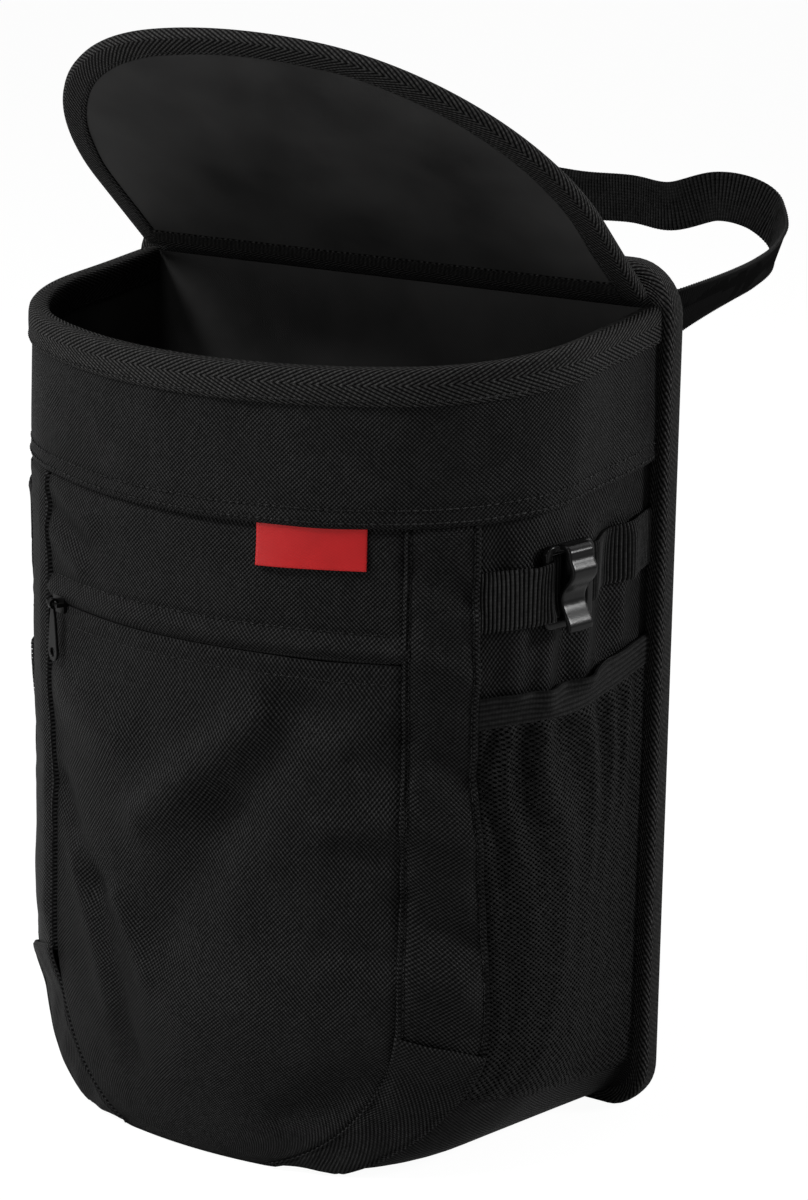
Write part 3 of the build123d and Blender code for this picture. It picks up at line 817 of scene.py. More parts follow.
# %% Lay the yoke
def yoke_out(arc, z):
    """The yoke's face: a lip over the zip, a stitched dip above it, flattened under the collar."""
    lip = (LIP_OUT - POCKET_OUT) * ease((ZIP_HEIGHT + 10 - z) / LIP_RUN)
    row = -0.6 * ridge(z - ZIP_HEIGHT - ROW_ABOVE_ZIP, 1.3)
    swell = 1.7 * ridge(z - ZIP_HEIGHT - 4.6, 3.2)
    side = -1.2 * (1 - ease((panel_arc(z, SIDE_TUCK) - np.abs(arc)) / 5))
    under = -0.9 * ease((z - band_height(FOLD_HEIGHT, arc) + 3) / 3)
    return POCKET_OUT + slump(arc, z) + lip + row + swell + side + under


def lay_yoke(across, up):
    arc = (2 * across - 1) * panel_arc(np.full_like(across, ZIP_HEIGHT), SIDE_TUCK)
    low = ZIP_HEIGHT + slit_gap(arc)
    z = low + (band_height(FOLD_HEIGHT, arc) + UNDER_COLLAR - low) * up
    roll = LIP_ROLL * (1 - ease((z - low) / ROLL_RUN))
    return on_wall(arc, z, yoke_out(arc, z) - roll)


make_sheet("yoke_cloth", (96, 44), (168, 49), lay_yoke, PLY, oxford,
           "pocket_yoke")

# %% Sew the rows beside the zip
row_arc = np.linspace(-ROW_REACH, ROW_REACH, 160)
row_low = np.full_like(row_arc, ZIP_HEIGHT - ROW_BELOW_ZIP)
row_high = np.full_like(row_arc, ZIP_HEIGHT + ROW_ABOVE_ZIP)
sew("stitches_zip", [
    wall_seam(row_arc, row_low, pocket_out(row_arc, row_low) + THREAD_LIFT),
    wall_seam(row_arc, row_high, yoke_out(row_arc, row_high) + THREAD_LIFT)], "bag")

# %% [markdown]
# ## The zip: tape, coil, slider and pull
# The coil is a nylon spiral sewn to a woven tape, and only a sliver of it shows through the slit. Its turns
# could be copies of one ring, but a single tube that swells and narrows once per turn looks the same there
# and is lighter. The slider and the pull are rigid and right in the model, so they only get their painted
# metal.

# %% Lay the zip's tape and coil
TAPE_HALF_WIDTH = 13.0
TAPE_OUT = 0.6
TAPE_PLY = 0.4
COIL_PITCH = 1.35
COIL_OUT = 0.75
COIL_HALF_HEIGHT = 1.25
COIL_HALF_DEPTH = 0.55


def lay_zip_tape(across, up):
    arc = (2 * across - 1) * (PANEL_HALF_WIDTH + 2)
    z = ZIP_HEIGHT + (2 * up - 1) * TAPE_HALF_WIDTH
    return on_wall(arc, z, slump(arc, z) + TAPE_OUT)


make_sheet("zip_tape_cloth", (80, 8), (159, 26), lay_zip_tape, TAPE_PLY, webbing,
           "zip_tape")


def lay_coil(across, up):
    """A tube that swells at each turn; up runs round the tube."""
    arc = (2 * across - 1) * (PANEL_HALF_WIDTH - 1)
    round_tube = 2 * math.pi * up
    turn = 0.82 + 0.18 * np.cos(2 * math.pi * arc / COIL_PITCH)
    z = ZIP_HEIGHT + COIL_HALF_HEIGHT * turn * np.cos(round_tube)
    return on_wall(arc, z, slump(arc, z) + COIL_OUT - COIL_HALF_DEPTH * turn * np.sin(round_tube))


zip_coil = cut_cloth("zip_coil_turns", (690, 10), (153, 8), lay_coil)
weld()
edit_whole(bpy.ops.mesh.fill_holes, sides=0)
dress(zip_coil, coil_nylon, "bag", ["zip_coil"])

for node in ("zip_slider", "zip_pull"):
    paint(frame["nodes"][node], zip_paint)
print("slider and pull painted")

# %% [markdown]
# ## The bare red tag
# A short length of red satin ribbon, folded and caught in the collar's seam. It hangs free, so its lower
# edge curls a little away from the yoke and its sides ripple. It carries no words.

# %% Hang the tag
TAG_FLAT = (40, 16.4)
TAG_OUT = 2.5
TAG_PLY = 0.7
TAG_BEVEL = 0.25
tag_low, tag_high = node_box("front_tag")


def lay_tag(across, up):
    first, last = arc_at_x(np.array([tag_low[0], tag_high[0]]), np.full(2, RIM_HEIGHT))
    arc = first + (last - first) * across
    top = band_height(FOLD_HEIGHT, arc) + 1.0
    z = top - TAG_FLAT[1] * (1 - up)
    curl = 0.9 * (1 - up) ** 2 + 0.25 * np.sin(5 * across + 1) * (1 - up)
    return on_wall(arc, z, slump(arc, z) + TAG_OUT + curl)


tag = cut_cloth("tag_ribbon", (40, 16), TAG_FLAT, lay_tag)
thicken(tag, TAG_PLY)
apply_modifier(tag, "BEVEL", width=TAG_BEVEL * MM, segments=2, limit_method="ANGLE")
dress(tag, red, "bag", ["front_tag"])
declare(TAG_FLAT)

# %% [markdown]
# ## Corner strips and boots
# A folded strip of the same cloth covers each front corner seam, stitched close to both edges. Between the
# rows it puffs up, at the rows it is pulled into little puckers. It widens downwards until a boot of cloth
# takes over and turns under the corner. Both are laid by arc length along the wall, so they bend round it
# as real cloth does.

# %% Measures of the strips
STRIP_WIDTH = 21.5
STRIP_FLARE = 7.0
FLARE_TOP = 186.0
FLARE_RUN = 130.0
FLARE_FOOT_SHARE = 0.35
FLARE_FOOT_RUN = 45.0
STRIP_OUT = 2.5
STRIP_ROW = 2.6
STRIP_PLY = 1.1
STRIP_TUCK = 2.5
ROW_WIDTH = 0.9
LEFT_PUCKER = 0.3
RIGHT_PUCKER = 0.55
PUCKER_WAVES = ((0.9, 7, 1.7), (0.4, 3.4, 5.2))
BOOT_INNER_TOP = 60.5
BOOT_OUTER_TOP = 50.0
BOOT_FOOT = 2.0
BOOT_OUT = 2.0
BOOT_WRINKLE = (1.2, 11, 2.3)
STRIP_ROW_LOW, STRIP_ROW_HIGH = 54.0, 249.0


def strip_arcs(z):
    """The arc lengths of a corner strip's inner and outer edges, at each height."""
    inner = panel_arc(z)
    wide = np.full_like(z, RIM_HEIGHT)
    width = arc_at_x(PANEL_HALF_WIDTH + STRIP_WIDTH, wide) - arc_at_x(PANEL_HALF_WIDTH, wide)
    foot_share = FLARE_FOOT_SHARE + (1 - FLARE_FOOT_SHARE) * ease(z / FLARE_FOOT_RUN)
    return inner, inner + width + STRIP_FLARE * ease((FLARE_TOP - z) / FLARE_RUN) * foot_share


def strip_arc(side, share, z):
    """The arc length at a share of the way across a strip, on one side."""
    inner, outer = strip_arcs(z)
    return side * (inner + (outer - inner) * share)


def to_strip_edge(arc, z):
    """The distance to the nearer edge of a strip."""
    inner, outer = strip_arcs(z)
    return np.minimum(np.abs(arc) - inner, outer - np.abs(arc))


def one_side(across, side):
    """The share of the way from the front to the back, whichever side of the bag a cloth lies on."""
    return across if side > 0 else 1 - across


def rolled(to_edge, radius):
    """How far a turned edge has rolled down: 1 at the edge, 0 from a radius on."""
    return 1 - np.sqrt(np.clip(1 - (1 - np.clip(to_edge / radius, 0, 1)) ** 2, 0, 1))


def strip_out(arc, z):
    """A corner strip's face: rolled edges, two stitched grooves with puckers, a puffed middle."""
    to_edge = to_strip_edge(arc, z)
    to_row = to_edge - STRIP_ROW
    pucker = waves(z, arc, *PUCKER_WAVES) * np.where(arc < 0, LEFT_PUCKER, RIGHT_PUCKER)
    puff = 0.8 * ease(to_row / 6) * (1 + soft_noise(arc, z, 22, 6.6)) * ease((z - 60) / 14)
    under = -1.3 * ease((z - band_height(FOLD_HEIGHT, arc) + STRIP_TUCK) / STRIP_TUCK)
    bead = 0.8 * ridge(to_edge - 1.3, 0.7)
    pressed = -1.6 * rolled(to_edge, 1.1) - 0.6 * ridge(to_row, ROW_WIDTH)
    return STRIP_OUT + pressed + bead + 1.5 * pucker * ridge(to_row, 3.5) + puff + slump(arc, z) + under


def boot_out(arc, z):
    """A boot's face: rolled edges, and a pressed row beside each."""
    to_edge = to_strip_edge(arc, z)
    pressed = -1.1 * rolled(to_edge, 1.0) - 0.45 * ridge(to_edge - STRIP_ROW, ROW_WIDTH)
    wrinkle = waves(arc, z, BOOT_WRINKLE)
    return BOOT_OUT + pressed + wrinkle * ease(to_edge / 3) + slump(arc, z)


def boot_top(share):
    """The slanted line where a strip meets its boot."""
    return BOOT_INNER_TOP + (BOOT_OUTER_TOP - BOOT_INNER_TOP) * share


print(f"strips {STRIP_WIDTH} mm wide, boots {BOOT_INNER_TOP} mm high")


# %% Lay strips and boots on both sides
def lay_strip(side, across, up):
    share = one_side(across, side)
    foot = boot_top(share) - STRIP_TUCK
    at_rim = strip_arc(side, share, np.full_like(share, RIM_HEIGHT))
    top = band_height(FOLD_HEIGHT, at_rim) + UNDER_COLLAR
    z = foot + (top - foot) * up
    arc = strip_arc(side, share, z)
    return on_wall(arc, z, strip_out(arc, z))


def lay_boot(side, across, up):
    share = one_side(across, side)
    top = boot_top(share)
    z = BOOT_FOOT + (top - BOOT_FOOT) * up ** 1.3
    arc = strip_arc(side, share, z)
    hem = 0.9 * (1 - ease((top - z) / ROLL_RUN))
    flat = -1.3 * np.sin(math.pi * share) * ease((top - z) / 10)
    over_strip = 2.6 * ease((z - top + 18) / 16)
    return on_wall(arc, z, boot_out(arc, z) + over_strip + flat - hem)


for side, word in SIDES:
    make_sheet(f"corner_strip_cloth_{word}", (36, 150), (27, 200), partial(lay_strip, side), STRIP_PLY,
               oxford, f"corner_strip_{word}")
    make_sheet(f"corner_boot_cloth_{word}", (34, 46), (33, 68), partial(lay_boot, side), PLY,
               oxford, f"corner_boot_{word}", cut_share=0.85)
    row_z = np.linspace(STRIP_ROW_LOW, STRIP_ROW_HIGH, 160)
    inner, outer = strip_arcs(row_z)
    rows = []
    for row_arc in (side * (inner + STRIP_ROW), side * (outer - STRIP_ROW)):
        rows.append(wall_seam(row_arc, row_z, strip_out(row_arc, row_z) + THREAD_LIFT))
    sew(f"stitches_strip_{word}", rows, "bag")

# %% [markdown]
# ## The gusset
# One long strip of cloth makes the right side, the base and the left side, sewn to the front panel along
# one edge and to the back along the other. It is laid the same way: rows run down the right wall, across
# the base and up the left wall, so the weave turns the corner as the real strip does.

# %% Lay the gusset round the base
BASE_SHARE = 0.22
FRONT_TUCK = 2.0
GUSSET_PLY = 1.8
GUSSET_FLAT = (130, 800)


def lay_gusset(across, up):
    """across runs from the front seam to the back, up from the right rim, under the base, to the left rim."""
    run = np.abs(2 * up - 1)
    side = np.where(up < 0.5, 1.0, -1.0)
    climb = np.clip((run - BASE_SHARE) / (1 - BASE_SHARE), 0, 1)
    z = (RIM_HEIGHT - 14) * climb ** 1.6
    inner, outer = panel_arc(z) - FRONT_TUCK, arc_at_back(z)
    arc = side * (inner + (outer - inner) * across)
    sink = 0.4 * ease(z / 20) + 0.9 * (1 - ease(across * 14))
    points = on_wall(arc, z, slump(arc, z) - sink)
    base = run < BASE_SHARE
    x = points[:, 0] * np.where(base, np.clip(run / BASE_SHARE, 0, 1), 1)
    bow = np.sqrt(FRONT_RADIUS ** 2 - points[:, 0] ** 2) - np.sqrt(FRONT_RADIUS ** 2 - x ** 2)
    points[:, 1] += np.where(base, bow * (1 - across), 0)
    points[:, 0] = x
    points[:, 2] = np.maximum(points[:, 2], GUSSET_PLY)
    return points


gusset = cut_cloth("gusset_cloth", (60, 190), GUSSET_FLAT, lay_gusset)
thicken(gusset, GUSSET_PLY, offset=1.0)
edit_whole(bpy.ops.mesh.normals_make_consistent, inside=False)
dress(gusset, oxford, "bag", ["side_gusset"])
declare(GUSSET_FLAT, 0.9)

# %% [markdown]
# ## Collar and rim tape
# The collar is a doubled band round the mouth. Its lower edge is a fold, so its profile is drawn as a line
# that starts a little way up inside, turns under at the fold and goes up the outside, and that profile
# follows the wall. The rim tape is folded over everything at the top in the same manner.

# %% Profiles that follow the wall, as heights and distances out
COLLAR_PROFILE = [
    (9, 0.5), (3, 0.7), (0.8, 0.9), (0.15, 1.3), (0.0, 1.9), (0.3, 2.5), (1.0, 2.8), (2.2, 2.8),
    (4.5, 2.75), (7.0, 2.55), (10, 2.7), (16, 2.6), (26, 2.4), (38, 2.2), (48, 2.1),
    (COLLAR_HEIGHT - 0.5, 2.0)]
COLLAR_FOLD_POINT = 4
RIM_PROFILE = [
    (-12.9, 1.8), (-12.9, 2.8), (-12.2, 3.4), (-10, 3.5), (-6, 3.6), (-2.2, 3.5), (-0.5, 3.1), (0.4, 2.2),
    (0.7, 0.6), (0.7, -1.6), (0.3, -3.6), (-0.7, -4.6), (-3, -5.0), (-8, -5.0), (-12.2, -4.9), (-12.8, -4.4),
    (-12.9, -3.6)]
COLLAR_ROWS = (2.2, 7.0)
RIM_ROW_DROP = 11.0
RIM_ROW_OUT = 3.55
RIM_ROW_IN = -5.05
RIM_PLY = 0.7
COLLAR_SLACK = 0.7
COLLAR_WAVES = ((0.55, 42, 4.4), (0.25, 15, 2.9))
COLLAR_BELLY = (0.6, 45, 9.1)
FOLD_WAVE = (0.5, 30, 7.7)
RIM_WAVE = (0.35, 24, 1.3)


def path_at(points, values, share):
    """Values along a path, at shares of its length."""
    length = path_length(points)
    return between(length / length[-1], values, share)


def profile_at(profile, share):
    """The two coordinates of a profile, at a share of its length."""
    points = np.array(profile, float)
    return path_at(points, points, share).T


def collar_flare(arc, height):
    """How the collar stands off: its fold waves a little, and the cloth above it bellies."""
    wavy = waves(arc, 0 * arc, *COLLAR_WAVES)
    belly = waves(arc, height, COLLAR_BELLY) * np.clip(height * (COLLAR_HEIGHT - height) / 700, 0, 1)
    return (wavy + 0.4) * np.exp(-height / 14) + belly


def collar_place(arc, height, out):
    """A height on the collar and its distance out, with all that moves it."""
    uneven = waves(arc, 0 * arc, FOLD_WAVE) * np.exp(-height / 9)
    z = band_height(FOLD_HEIGHT, arc) + height + uneven
    hold = ease((FULL_ARC - np.abs(arc)) / 12)
    return z, out + slump(arc, z) * COLLAR_SLACK + collar_flare(arc, height) * hold


def rim_sway(arc):
    """How the rim tape wanders in and out."""
    return waves(arc, 0 * arc, RIM_WAVE)


print(f"collar {COLLAR_HEIGHT} mm high, with rows at {COLLAR_ROWS} mm")


# %% Lay the collar and the rim tape
def lay_collar(across, up):
    arc = (2 * across - 1) * FULL_ARC
    height, out = profile_at(COLLAR_PROFILE, up)
    z, out = collar_place(arc, height, out)
    return on_wall(arc, z, out)


def lay_rim(across, up):
    arc = (2 * across - 1) * FULL_ARC
    height, out = profile_at(RIM_PROFILE, 1 - up)
    z = band_height(RIM_HEIGHT, arc) + height
    sway = rim_sway(arc)
    return on_wall(arc, z + 0.3 * sway, out + slump(arc, z) * COLLAR_SLACK + sway)


make_sheet("collar_cloth", (240, 56), (2 * FULL_ARC, 68), lay_collar, RIM_PLY, oxford,
           "collar_band")
make_sheet("rim_tape", (260, 34), (2 * FULL_ARC, 36), lay_rim, RIM_PLY, tape,
           "rim_binding", offset=1.0)

# %% Sew the collar and the rim tape
seam_arc = np.linspace(1 - FULL_ARC, FULL_ARC - 1, 300)
outer_heights, outer_outs = np.array(COLLAR_PROFILE[COLLAR_FOLD_POINT:]).T
rows = []
for row in COLLAR_ROWS:
    face = np.interp(row, outer_heights, outer_outs)
    row_z, row_out = collar_place(seam_arc, np.full_like(seam_arc, row), face)
    rows.append(wall_seam(seam_arc, row_z, row_out + THREAD_LIFT))
rim_z = band_height(RIM_HEIGHT, seam_arc) - RIM_ROW_DROP
rim_out = rim_sway(seam_arc) + slump(seam_arc, rim_z) * COLLAR_SLACK
rows.append(wall_seam(seam_arc, rim_z, RIM_ROW_OUT + rim_out))
sew("stitches_collar", rows, "bag")
inner_points, inner_normals = wall_seam(seam_arc, rim_z, rim_out + RIM_ROW_IN)
sew("stitches_rim_inside", [(inner_points, -inner_normals)], "bag")

# %% [markdown]
# ## Side webbing, elastic and mesh pockets
# Each side carries a band of ribbed webbing for the clip, and below it a mesh pocket held by a ribbed
# elastic. The ribs are in the mesh: along the webbing every four columns make one rib, across the elastic a
# few rows do. Under the elastic the mesh is gathered into soft pleats that die out further down.

# %% Measures of the sides
WEBBING_TOP = 244.0
WEBBING_WIDTH = 22.0
WEBBING_PLY = 1.1
WEBBING_TUCK = 1.5
RIB_HEIGHT = 0.24
RIB_COLUMNS = 4
ELASTIC_TOP = 196.0
ELASTIC_WIDTH = 11.8
ELASTIC_PLY = 1.0
ELASTIC_TUCK = 1.0
ELASTIC_RIBS = 6
ELASTIC_RIB_HEIGHT = 0.16
MESH_FOOT_FRONT = 35.0
MESH_FOOT_BACK = 20.0
MESH_PLY = 0.5
MESH_TUCK = 0.8
MESH_HEIGHT = 165.0
GATHER_ROOM = 30.0
PLEATS = 6
PLEAT_WAVE = (0.03, 30, 3.7)
STRIP_ARC = float(strip_arcs(np.array([RIM_HEIGHT]))[1][0])
SIDE_RUN = FULL_ARC - STRIP_ARC
CLIP_ARC = 145.8
BAR_LIFT = 3.9
WEBBING_FLAT = (SIDE_RUN + WEBBING_TUCK, WEBBING_WIDTH)
ELASTIC_FLAT = (SIDE_RUN + ELASTIC_TUCK, ELASTIC_WIDTH)
MESH_FLAT = (SIDE_RUN + GATHER_ROOM, MESH_HEIGHT)


def webbing_out(reach):
    """The webbing's path: slack near its ends, over the clip's front bar and down through its slot."""
    front_lift = 1.0 * ridge(reach - STRIP_ARC - 10, 6)
    back_lift = 1.8 * ridge(reach - FULL_ARC + 16, 9)
    over_bar = ease((reach - CLIP_ARC + 22) / 8) * (1 - ease((reach - CLIP_ARC + 9.6) / 3.6))
    return 1.45 + front_lift + back_lift + BAR_LIFT * over_bar


def elastic_line(reach):
    """The elastic's sag below a straight line, and how far it stands off the wall."""
    share = (reach - STRIP_ARC) / SIDE_RUN
    dip = 1.4 * np.cos(2.6 * share * math.pi / 2) - 1.2 * ridge(share - 0.42, 0.2)
    return dip, 2.2 + 1.5 * np.sin(math.pi * share) ** 2


def side_reach(side, across, front_tuck):
    """The arc length of a band's columns, from under the corner strip to the back."""
    return STRIP_ARC - front_tuck + (SIDE_RUN + front_tuck) * one_side(across, side)


def band_ribs(across, length):
    """Ribs across a band of a length."""
    return RIB_HEIGHT * np.sin(2 * math.pi * across * length / RIB_PITCH)


def band_edge(up, width, drop, run):
    """How a band's two edges round off: a drop within a short run."""
    return -drop * (1 - ease(np.minimum(up, 1 - up) * width / run))


print(f"each side runs {SIDE_RUN:.1f} mm from the strip to the back")


# %% Lay webbing, elastic and mesh on both sides
def lay_webbing(side, across, up):
    reach = side_reach(side, across, WEBBING_TUCK)
    arc = side * reach
    z = band_height(WEBBING_TOP - WEBBING_WIDTH * (1 - up), arc)
    form = band_ribs(across, WEBBING_FLAT[0]) + band_edge(up, WEBBING_WIDTH, 0.5, 0.9)
    return on_wall(arc, z, webbing_out(reach) + form + slump(arc, z))


def lay_elastic(side, across, up):
    reach = side_reach(side, across, ELASTIC_TUCK)
    arc = side * reach
    dip, out = elastic_line(reach)
    z = band_height(ELASTIC_TOP - ELASTIC_WIDTH * (1 - up), arc) + dip
    ribs = ELASTIC_RIB_HEIGHT * np.sin(2 * math.pi * ELASTIC_RIBS * up)
    return on_wall(arc, z, out + ribs + band_edge(up, ELASTIC_WIDTH, 0.5, 0.8) + slump(arc, z))


def lay_mesh(side, across, up):
    reach = side_reach(side, across, MESH_TUCK)
    place, _ = wall_point(side * reach, np.full_like(reach, RIM_HEIGHT))
    depth = (place[:, 1] - FRONT_Y) / (BACK_Y - FRONT_Y)
    foot = MESH_FOOT_FRONT + (MESH_FOOT_BACK - MESH_FOOT_FRONT) * ease(depth)
    dip, out = elastic_line(reach)
    top = band_height(ELASTIC_TOP - ELASTIC_WIDTH + 0.8, side * reach) + dip
    z = foot + (top - foot) * up
    down = 1 - up
    share = (reach - STRIP_ARC) / SIDE_RUN
    reach = reach + (strip_arcs(z)[1] - STRIP_ARC) * np.clip(1 - share, 0, 1)
    pleat_place = share + 0.05 * np.sin(5 * share + 6 * down) + waves(reach, z, PLEAT_WAVE)
    pleat = np.cos(2 * math.pi * PLEATS * pleat_place + 1.4 * np.sin(9 * share))
    fade = ridge(down, 0.28) * ease(down / 0.03) + 0.1
    belly = 1.5 * np.sin(math.pi * up) ** 0.7 * np.sin(math.pi * np.clip(share, 0, 1)) ** 0.6
    ends = ease(np.minimum(share, 1 - share) / 0.06)
    gathers = (3.0 - 2.3 * share) * pleat * fade * ends
    face = 0.7 + (out - 1.4) * np.exp(-down / 0.2) + belly + gathers
    sewn = ease(up / 0.02)
    return on_wall(side * reach, z, 0.35 + np.maximum(face, 0.3) * sewn + slump(side * reach, z))


columns = int(RIB_COLUMNS * WEBBING_FLAT[0] / RIB_PITCH)
for side, word in SIDES:
    make_sheet(f"side_webbing_band_{word}", (columns, 14), WEBBING_FLAT, partial(lay_webbing, side),
               WEBBING_PLY, webbing, f"side_webbing_{word}")
    hem = make_sheet(f"pocket_elastic_band_{word}", (90, 40), ELASTIC_FLAT, partial(lay_elastic, side),
                     ELASTIC_PLY, elastic, f"pocket_elastic_{word}")
    make_sheet(f"mesh_pocket_knit_{word}", (110, 110), MESH_FLAT, partial(lay_mesh, side), MESH_PLY,
               mesh_knit, f"mesh_pocket_{word}", cut_share=0.9)

# %% [markdown]
# ## The bag clips
# Each clip is one moulding: a threaded frame with an S-shaped spring hook. Its form comes from the model,
# which stores loose triangles, so a copy is merged and shaded smoothly across its rounded edges to catch
# clean lights. The real hook swings further out and in, so the copy's points off the frame are pushed along
# a sine.

# %% Copy the clips and deepen their hooks
CLIP_PLATE = 2.4
HOOK_BEND = 2.2
HOOK_PERIOD = 22.0
HOOK_TOP = 14.0


def smooth_copy(node, name, finish, body):
    """A merged copy of a rigid node's mesh, shaded smoothly, that stands for it."""
    piece = bpy.data.objects.new(name, frame["nodes"][node].data.copy())
    activate(piece)
    weld(0.005)
    dress(piece, finish, body, [node], angle=35)
    return piece


def bend_hook(piece, side):
    """Deepen the S of a clip's spring hook; its frame stays as it is."""
    points = np.array([vertex.co for vertex in piece.data.vertices]) / MM
    middle = (points[:, 2].min() + points[:, 2].max()) / 2
    here, along = wall_point(np.array([side * CLIP_ARC]), np.array([middle]))
    out_way = np.cross(along[0], (0.0, 0.0, 1.0))
    off_wall = (points - here[0]) @ out_way
    on_hook = ease((off_wall - off_wall.min() - CLIP_PLATE) / 0.8)
    rise = points[:, 2] - middle
    bend = HOOK_BEND * np.sin(2 * math.pi * (rise + 1) / HOOK_PERIOD) * ease((HOOK_TOP - rise) / 6)
    points += out_way * (bend * on_hook)[:, None]
    piece.data.vertices.foreach_set("co", (points * MM).ravel())
    piece.data.update()


for side, word in reversed(SIDES):
    clip = smooth_copy(f"bag_clip_{word}", f"bag_clip_moulding_{word}", plastic, "bag")
    bend_hook(clip, side)

# %% [markdown]
# ## The back panel
# A foam board between two cloths, bound all round with wide tape. The cloths are laid flat with a breath of
# unevenness. The tape's profile wraps the edge: a short leg at the front, the thickness, a wide leg behind.

# %% Lay the facing and the cover
BACK_HEIGHT = 335.0
BACK_HALF_WIDTH = 123.0
BACK_TOP_RADIUS = 20.0
BACK_FOOT_RADIUS = 18.0
COVER_Y = BACK_Y + 8.6
CLOTH_INSET = 2.5
BACK_FLAT = (246, 330)
FLAT_PLY = 0.6


def corner_cut(past, radius):
    """How much a round corner takes off the panel's half width, at a distance past its start."""
    return radius - np.sqrt(radius ** 2 - np.clip(past, 0, radius) ** 2)


def rounded_half_width(z, inset):
    """Half the panel's width at a height, with its round corners, drawn in by an inset."""
    cut_top = corner_cut(z - (BACK_HEIGHT - BACK_TOP_RADIUS), BACK_TOP_RADIUS - inset)
    cut_foot = corner_cut(BACK_FOOT_RADIUS - z, BACK_FOOT_RADIUS - inset)
    return BACK_HALF_WIDTH - inset - cut_top - cut_foot


def lay_back_cloth(y, way, across, up):
    """A cloth of the panel at a depth, whose face looks back (way 1) or to the front (way -1)."""
    z = CLOTH_INSET + (BACK_HEIGHT - 2 * CLOTH_INSET) * (0.5 - 0.5 * np.cos(math.pi * up))
    x = (2 * across - 1) * rounded_half_width(z, CLOTH_INSET)
    wavy = 0.22 * (soft_noise(x, z, 48, 5.5) + 1)
    return np.stack([-way * x, y + way * wavy, z], -1)


make_sheet("back_facing_cloth", (60, 80), BACK_FLAT, partial(lay_back_cloth, BACK_Y, -1), FLAT_PLY,
           oxford, "back_facing")
make_sheet("back_cover_cloth", (60, 80), BACK_FLAT, partial(lay_back_cloth, COVER_Y, 1), FLAT_PLY,
           oxford, "back_cover")

# %% Bind the back panel's edge, with a profile of distances inward and back
BACK_PROFILE = [
    (5.7, 0.5), (5.6, 0.1), (4.4, 0.0), (2.8, -0.1), (1.7, -0.45), (0.8, -0.6), (0.2, -0.1), (-0.1, 1.0),
    (-0.2, 3.4), (-0.15, 6.2), (0.1, 8.4), (0.9, 9.6), (2.5, 10.05), (6, 10.0), (10.5, 9.9), (12, 9.75),
    (12.4, 9.3), (12.4, 8.5)]
BACK_TAPE_FLAT = (1100, 36)
BACK_TAPE_PLY = 0.9
BACK_ROW = (10.6, 9.95)
BACK_TAPE_WAVE = (0.3, 26, 3.3)
BACKWARD = (0.0, 1.0, 0.0)


def panel_outline():
    """The back panel's closed outline from its foot's middle, with inward normals."""
    turns = np.linspace(0, math.pi / 2, 14)
    half, top = BACK_HALF_WIDTH, BACK_HEIGHT
    low, high = BACK_FOOT_RADIUS, BACK_TOP_RADIUS
    right = [(half - low + low * math.sin(t), low - low * math.cos(t)) for t in turns]
    right += [(half - high + high * math.cos(t), top - high + high * math.sin(t)) for t in turns]
    inward = [(-math.sin(t), math.cos(t)) for t in turns] + [(-math.cos(t), -math.sin(t)) for t in turns]
    left = [(-x, z) for x, z in reversed(right)]
    left_inward = [(-x, z) for x, z in reversed(inward)]
    points = np.array([(0, 0)] + right + left + [(0, 0)])
    normals = np.array([(0, 1)] + inward + left_inward + [(0, 1)], float)
    return points, normals


def beside_outline(outline, share, inward):
    """Places beside an outline of points and normals, at shares of its length and distances inward."""
    points, normals = outline
    normal = unit(path_at(points, normals, share))
    return path_at(points, points, share) + normal * np.reshape(inward, (-1, 1))


back_outline = panel_outline()


def back_tape_point(share, inward, deep):
    x, z = beside_outline(back_outline, share, inward).T
    return np.stack([x, BACK_Y + deep + 0 * x, np.maximum(z, BACK_TAPE_PLY)], -1)


def lay_back_tape(across, up):
    inward, deep = profile_at(BACK_PROFILE, up)
    still_at_foot = np.abs(np.sin(2 * math.pi * across)) ** 0.2
    wavy = waves(BACK_TAPE_FLAT[0] * across, 0 * across, BACK_TAPE_WAVE) * still_at_foot
    return back_tape_point(across, inward + wavy * (inward > 3), deep)


make_sheet("back_binding_tape", (420, 34), BACK_TAPE_FLAT, lay_back_tape, BACK_TAPE_PLY, tape,
           "back_binding", closed=True)
row_points = back_tape_point(np.linspace(0.002, 0.998, 700), *BACK_ROW)
sew("stitches_back_tape", [(row_points, np.tile(BACKWARD, (len(row_points), 1)))], "bag")
paint(frame["nodes"]["back_board"], board)

# %% [markdown]
# ## The lining
# Inside, the bag is lined with dark satin so that it can be wiped. It is laid as a closed bag: a floor that
# grows from its middle, then rows up the wall and along the back. It hangs a little loose, always inwards.

# %% Lay the lining
LINING_IN = -3.3
LINING_PLY = 0.5
LINING_FLOOR = GUSSET_PLY + 0.7
FLOOR_SHARE = 0.18
WALL_SHARE = 0.36
FLOOR_MIDDLE = np.array([0.0, 8.0])


